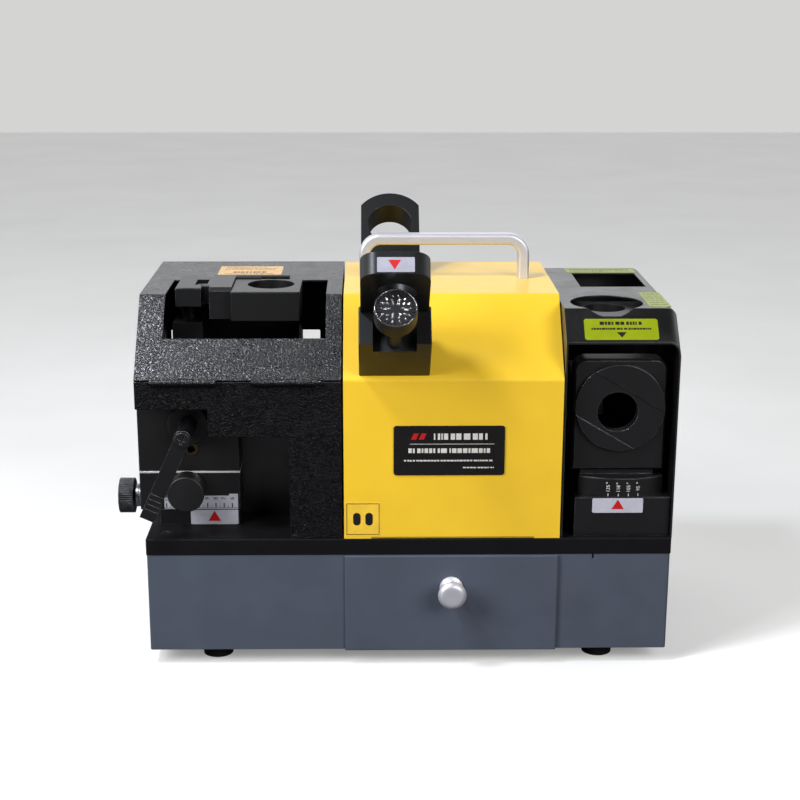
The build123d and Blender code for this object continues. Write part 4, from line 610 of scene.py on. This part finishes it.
def reach(node, direction):
    """How far the node's mesh reaches along a direction, in metres from the origin."""
    return max(vertex.co.dot(direction) for vertex in frame["nodes"][node].data.vertices)


def on_axis(point, direction, distance):
    return point + direction * (distance - point.dot(direction))


def gauge_label():
    along, out, axis_point = gauge_axes()
    outer = on_axis(axis_point, out, reach("gauge_slide", out))
    face = Face(outer + along * 22.9 * MM, RIGHT, along)
    triangle = pointer(-0.8, -3.8, 8.4, -7.4)
    label("gauge_label", "gauge", face, 24.8, 11.4, "label_silver", {"ink_red": [triangle]}, radius=0.5)


def gauge_knob_grip():
    """The knob's face: short ribs at the rim and rings of points inside it, in polished metal so that they show as
    painted glints.
    """
    along, out, axis_point = gauge_axes()
    floor_depth = 1.2
    top = on_axis(axis_point, out, reach("gauge_knob", out))
    face = Face(top - out * floor_depth * MM, RIGHT, along)
    rim_radius = 13.7
    rib_count = 30

    def point_at(radius, angle, x, y):
        """Local (x, y) turned to stand at this angle and radius from the centre."""
        c, s = math.cos(angle), math.sin(angle)
        return ((radius + x) * c - y * s, (radius + x) * s + y * c)

    def ribs(mesh):
        for index in range(rib_count):
            angle = 2 * math.pi * index / rib_count
            outline = [point_at(rim_radius - 2.0, angle, x, y) for x, y in rectangle(0, 0, 3.2, 0.7)]
            prism(mesh, face, outline, 0, 0.7)

    def points(mesh):
        rings = ((10.0, 14), (7.1, 10), (4.6, 6))
        for radius, count in rings:
            for index in range(count):
                angle = 2 * math.pi * (index + random.uniform(-0.12, 0.12)) / count
                size = random.uniform(1.0, 1.35)
                corners = [point_at(radius, angle, x, y) for x, y in rectangle(0, 0, 2.3 * size, 1.4 * size)]
                base = [mesh.verts.new(face.point(x, y, 0)) for x, y in corners]
                tip_x, tip_y = point_at(radius, angle, random.uniform(-0.3, 0.3), 0)
                tip = mesh.verts.new(face.point(tip_x, tip_y, 1.1))
                for first, second in zip(base, base[1:] + base[:1]):
                    mesh.faces.new((first, second, tip))
                mesh.faces.new(base[::-1])

    piece("gauge_knob_ribs", "gauge_clamp", FINISHES["black_plastic"], ribs)
    # Polished metal on the points stands in for the glints on glossy black points: painted glints.
    piece("gauge_knob_glint_points", "gauge_clamp", EXTRA["polished"], points)

    def bezel(mesh):
        ring_band(mesh, face, rim_radius - 0.1, rim_radius + 0.4, floor_depth - 0.1, floor_depth + 0.12)

    piece("gauge_knob_bezel", "gauge_clamp", EXTRA["polished"], bezel)


def ring_band(mesh, face, inner, outer, low, high, steps=72):
    """A closed flat ring on the face."""
    profile = ((inner, low), (outer, low), (outer, high), (inner, high))
    loops = []
    for step in range(steps):
        angle = 2 * math.pi * step / steps
        loops.append(
            [
                mesh.verts.new(face.point(r * math.cos(angle), r * math.sin(angle), lift))
                for r, lift in profile
            ]
        )
    for step in range(steps):
        here, there = loops[step], loops[(step + 1) % steps]
        for index in range(4):
            after = (index + 1) % 4
            mesh.faces.new((here[index], there[index], there[after], here[after]))


# ---------------------------------------------------------------- drill side
def drill_labels():
    low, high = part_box("drill_cover")
    bevel = 20.0
    middle = (low.x + 38.9 * MM, low.y + (bevel / 2 - 2.5) * MM, high.z - (bevel / 2 + 2.5) * MM)
    slanted = Face(middle, RIGHT, (0, 1, 1))
    marks = {
        "ink_black": text_like(-15, 15, 5.0, 2.6, 0.6, 3.4)
        + text_like(-21, 21, 0.4, 1.5, 0.4, 2.4)
        + [pointer(0, -6.8, 7.0, -4.4)],
    }
    label("bevel_label", "frame", slanted, 52, 17.5, "label_lime", marks, radius=2.0)

    strip = Face((low.x + 46 * MM, high.y - 11.5 * MM, high.z), RIGHT, BACK)
    marks = {
        "ink_black": text_like(-24, 24, 3.6, 2.0)
        + text_like(-24, 24, -2.2, 1.6)
        + [pointer(0, -5.0, 5.0, -2.6)],
    }
    label("rear_top_label", "frame", strip, 55, 18, "label_lime", marks, radius=1.5)

    side = Face((high.x - 11.2 * MM, low.y + 51 * MM, high.z), RIGHT, BACK)
    rows = []
    for index in range(6):
        rows += text_like(-6, 6, -19 + 7.6 * index, 1.5)
    label("side_top_label", "frame", side, 15.4, 52, "label_lime", {"ink_black": rows}, radius=1.5)


def angle_marks():
    """Point angles printed round the sector's front, each above its tick."""
    pivot = Vector(joint("point_angle_swivel")["pos_m"])
    radius = 60.0
    reach_forward = 43.0
    shift = 2.5
    centre_y = pivot.y + (radius - reach_forward) * MM
    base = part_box("seat_swivel")[0].z + 0.3 * MM
    offsets = {"135": -7.1, "118": 0.2, "105": 7.5, "95": 14.6}

    def build(mesh):
        for text, offset in offsets.items():
            angle = math.asin((offset - shift) / radius)
            out = Vector((math.sin(angle), -math.cos(angle), 0))
            right = Vector((math.cos(angle), math.sin(angle), 0))
            spot = (pivot.x + (shift + out.x * radius) * MM, centre_y + out.y * radius * MM, base)
            face = Face(spot, right, UP)
            prism(mesh, face, rectangle(0, 1.2, 0.45, 2.0), 0, INK)
            digits(mesh, face, text, 0, 5.9, 3.7, 0, INK, turn=90)
            ring_band(mesh, Face(face.point(-1.1, 10.0), right, UP), 0.3, 0.6, 0, INK, steps=16)

    piece("angle_print", "seat", EXTRA["ink_white"], build)

    low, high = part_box("pointer_plate")
    plate = Face(((low.x + high.x) / 2, low.y, high.z))
    piece(
        "pointer_print", "frame", EXTRA["ink_red"],
        lambda mesh: prism(mesh, plate, pointer(0, -0.6, 9.0, 7.4), 0, INK),
    )


tap_lid_label()
tap_scale()
feed_screw_collar()
name_plate_print()
corner_sticker()
gauge_label()
gauge_knob_grip()
drill_labels()
angle_marks()


# ---------------------------------------------------------------- stage, light and camera
def floor():
    mesh = bmesh.new()
    half = 4000.0
    ground = Face((0, 0, 0), RIGHT, BACK)
    prism(mesh, ground, rectangle(0, 0, 2 * half, 2 * half), -10.0, 0.0)
    data = bpy.data.meshes.new("floor")
    mesh.to_mesh(data)
    mesh.free()
    made = bpy.data.objects.new("floor", data)
    made.data.materials.append(studio_floor("floor"))
    bpy.context.scene.collection.objects.link(made)


def softbox(name, place, target, width, height, power, colour=(1.0, 1.0, 1.0)):
    lamp = bpy.data.lights.new(name, "AREA")
    lamp.color = colour
    lamp.shape = "RECTANGLE"
    lamp.size = width * MM
    lamp.size_y = height * MM
    lamp.energy = power
    made = bpy.data.objects.new(name, lamp)
    made.location = Vector(place) * MM
    aim = Vector(target) * MM - made.location
    made.rotation_euler = aim.to_track_quat("-Z", "Y").to_euler()
    bpy.context.scene.collection.objects.link(made)


def studio_world():
    """Bright behind, dim straight overhead and dark in front; the camera sees a pale backdrop."""
    world = bpy.data.worlds.new("studio")
    world.use_nodes = True
    tree = world.node_tree
    tree.nodes.clear()

    def node(kind, inputs, **settings):
        made = tree.nodes.new(kind)
        for key, value in settings.items():
            setattr(made, key, value)
        for key, value in inputs.items():
            if isinstance(value, bpy.types.NodeSocket):
                tree.links.new(value, made.inputs[key])
            else:
                made.inputs[key].default_value = value
        return made

    place = node("ShaderNodeTexCoord", {}).outputs["Generated"]
    split = node("ShaderNodeSeparateXYZ", {0: place})
    height = node("ShaderNodeMapRange", {0: split.outputs["Z"], 1: -0.05, 2: 0.25, 3: 0.25, 4: 1.0})
    depth = node("ShaderNodeMapRange", {0: split.outputs["Y"], 1: -0.3, 2: 0.8, 3: 0.05, 4: 1.5})
    zenith = node("ShaderNodeMapRange", {0: split.outputs["Z"], 1: 0.35, 2: 0.8, 3: 1.0, 4: 0.4})
    sides = node("ShaderNodeMath", {0: height.outputs[0], 1: depth.outputs[0]}, operation="MULTIPLY")
    glow = node("ShaderNodeMath", {0: sides.outputs[0], 1: zenith.outputs[0]}, operation="MULTIPLY")
    lighting = node(
        "ShaderNodeBackground", {"Color": (0.97, 0.98, 1.0, 1.0), "Strength": glow.outputs[0]}
    )
    backdrop = node("ShaderNodeBackground", {"Color": (0.66, 0.66, 0.65, 1.0), "Strength": 1.0})
    seen = node("ShaderNodeLightPath", {}).outputs["Is Camera Ray"]
    both = node("ShaderNodeMixShader", {0: seen, 1: lighting.outputs[0], 2: backdrop.outputs[0]})
    node("ShaderNodeOutputWorld", {0: both.outputs[0]})
    bpy.context.scene.world = world


def photo_camera():
    """The camera stands in front, slightly left of the middle, and looks down at the machine."""
    place = Vector((-28.6, -1145.8, 487.5)) * MM
    pitch = math.radians(15.643)
    yaw = math.radians(0.789)
    roll = math.radians(0.069)
    level = Vector((math.sin(yaw), math.cos(yaw), 0))
    side = Vector((math.cos(yaw), -math.sin(yaw), 0))
    forward = math.cos(pitch) * level - math.sin(pitch) * UP
    above = math.sin(pitch) * level + math.cos(pitch) * UP
    right = math.cos(roll) * side + math.sin(roll) * above
    top = math.cos(roll) * above - math.sin(roll) * side
    lens = bpy.data.cameras.new("camera")
    lens.sensor_width = 36.0
    lens.lens = 69.81
    lens.shift_x = 0.0129
    lens.shift_y = 0.0156
    lens.clip_start = 0.01
    camera = bpy.data.objects.new("camera", lens)
    camera.matrix_world = Matrix.Translation(place) @ Matrix((right, top, -forward)).transposed().to_4x4()
    bpy.context.scene.collection.objects.link(camera)
    bpy.context.scene.camera = camera


floor()
studio_world()
softbox("key", (-1100, -900, 1000), (0, 0, 160), 600, 800, 22)
softbox("fill", (900, -1300, 900), (0, 0, 160), 900, 700, 16.5)
softbox("glint", (-620, -500, 1380), (-190, -70, 235), 200, 200, 12, (0.84, 0.88, 1.0))
photo_camera()
bpy.context.scene.view_settings.view_transform = "Standard"
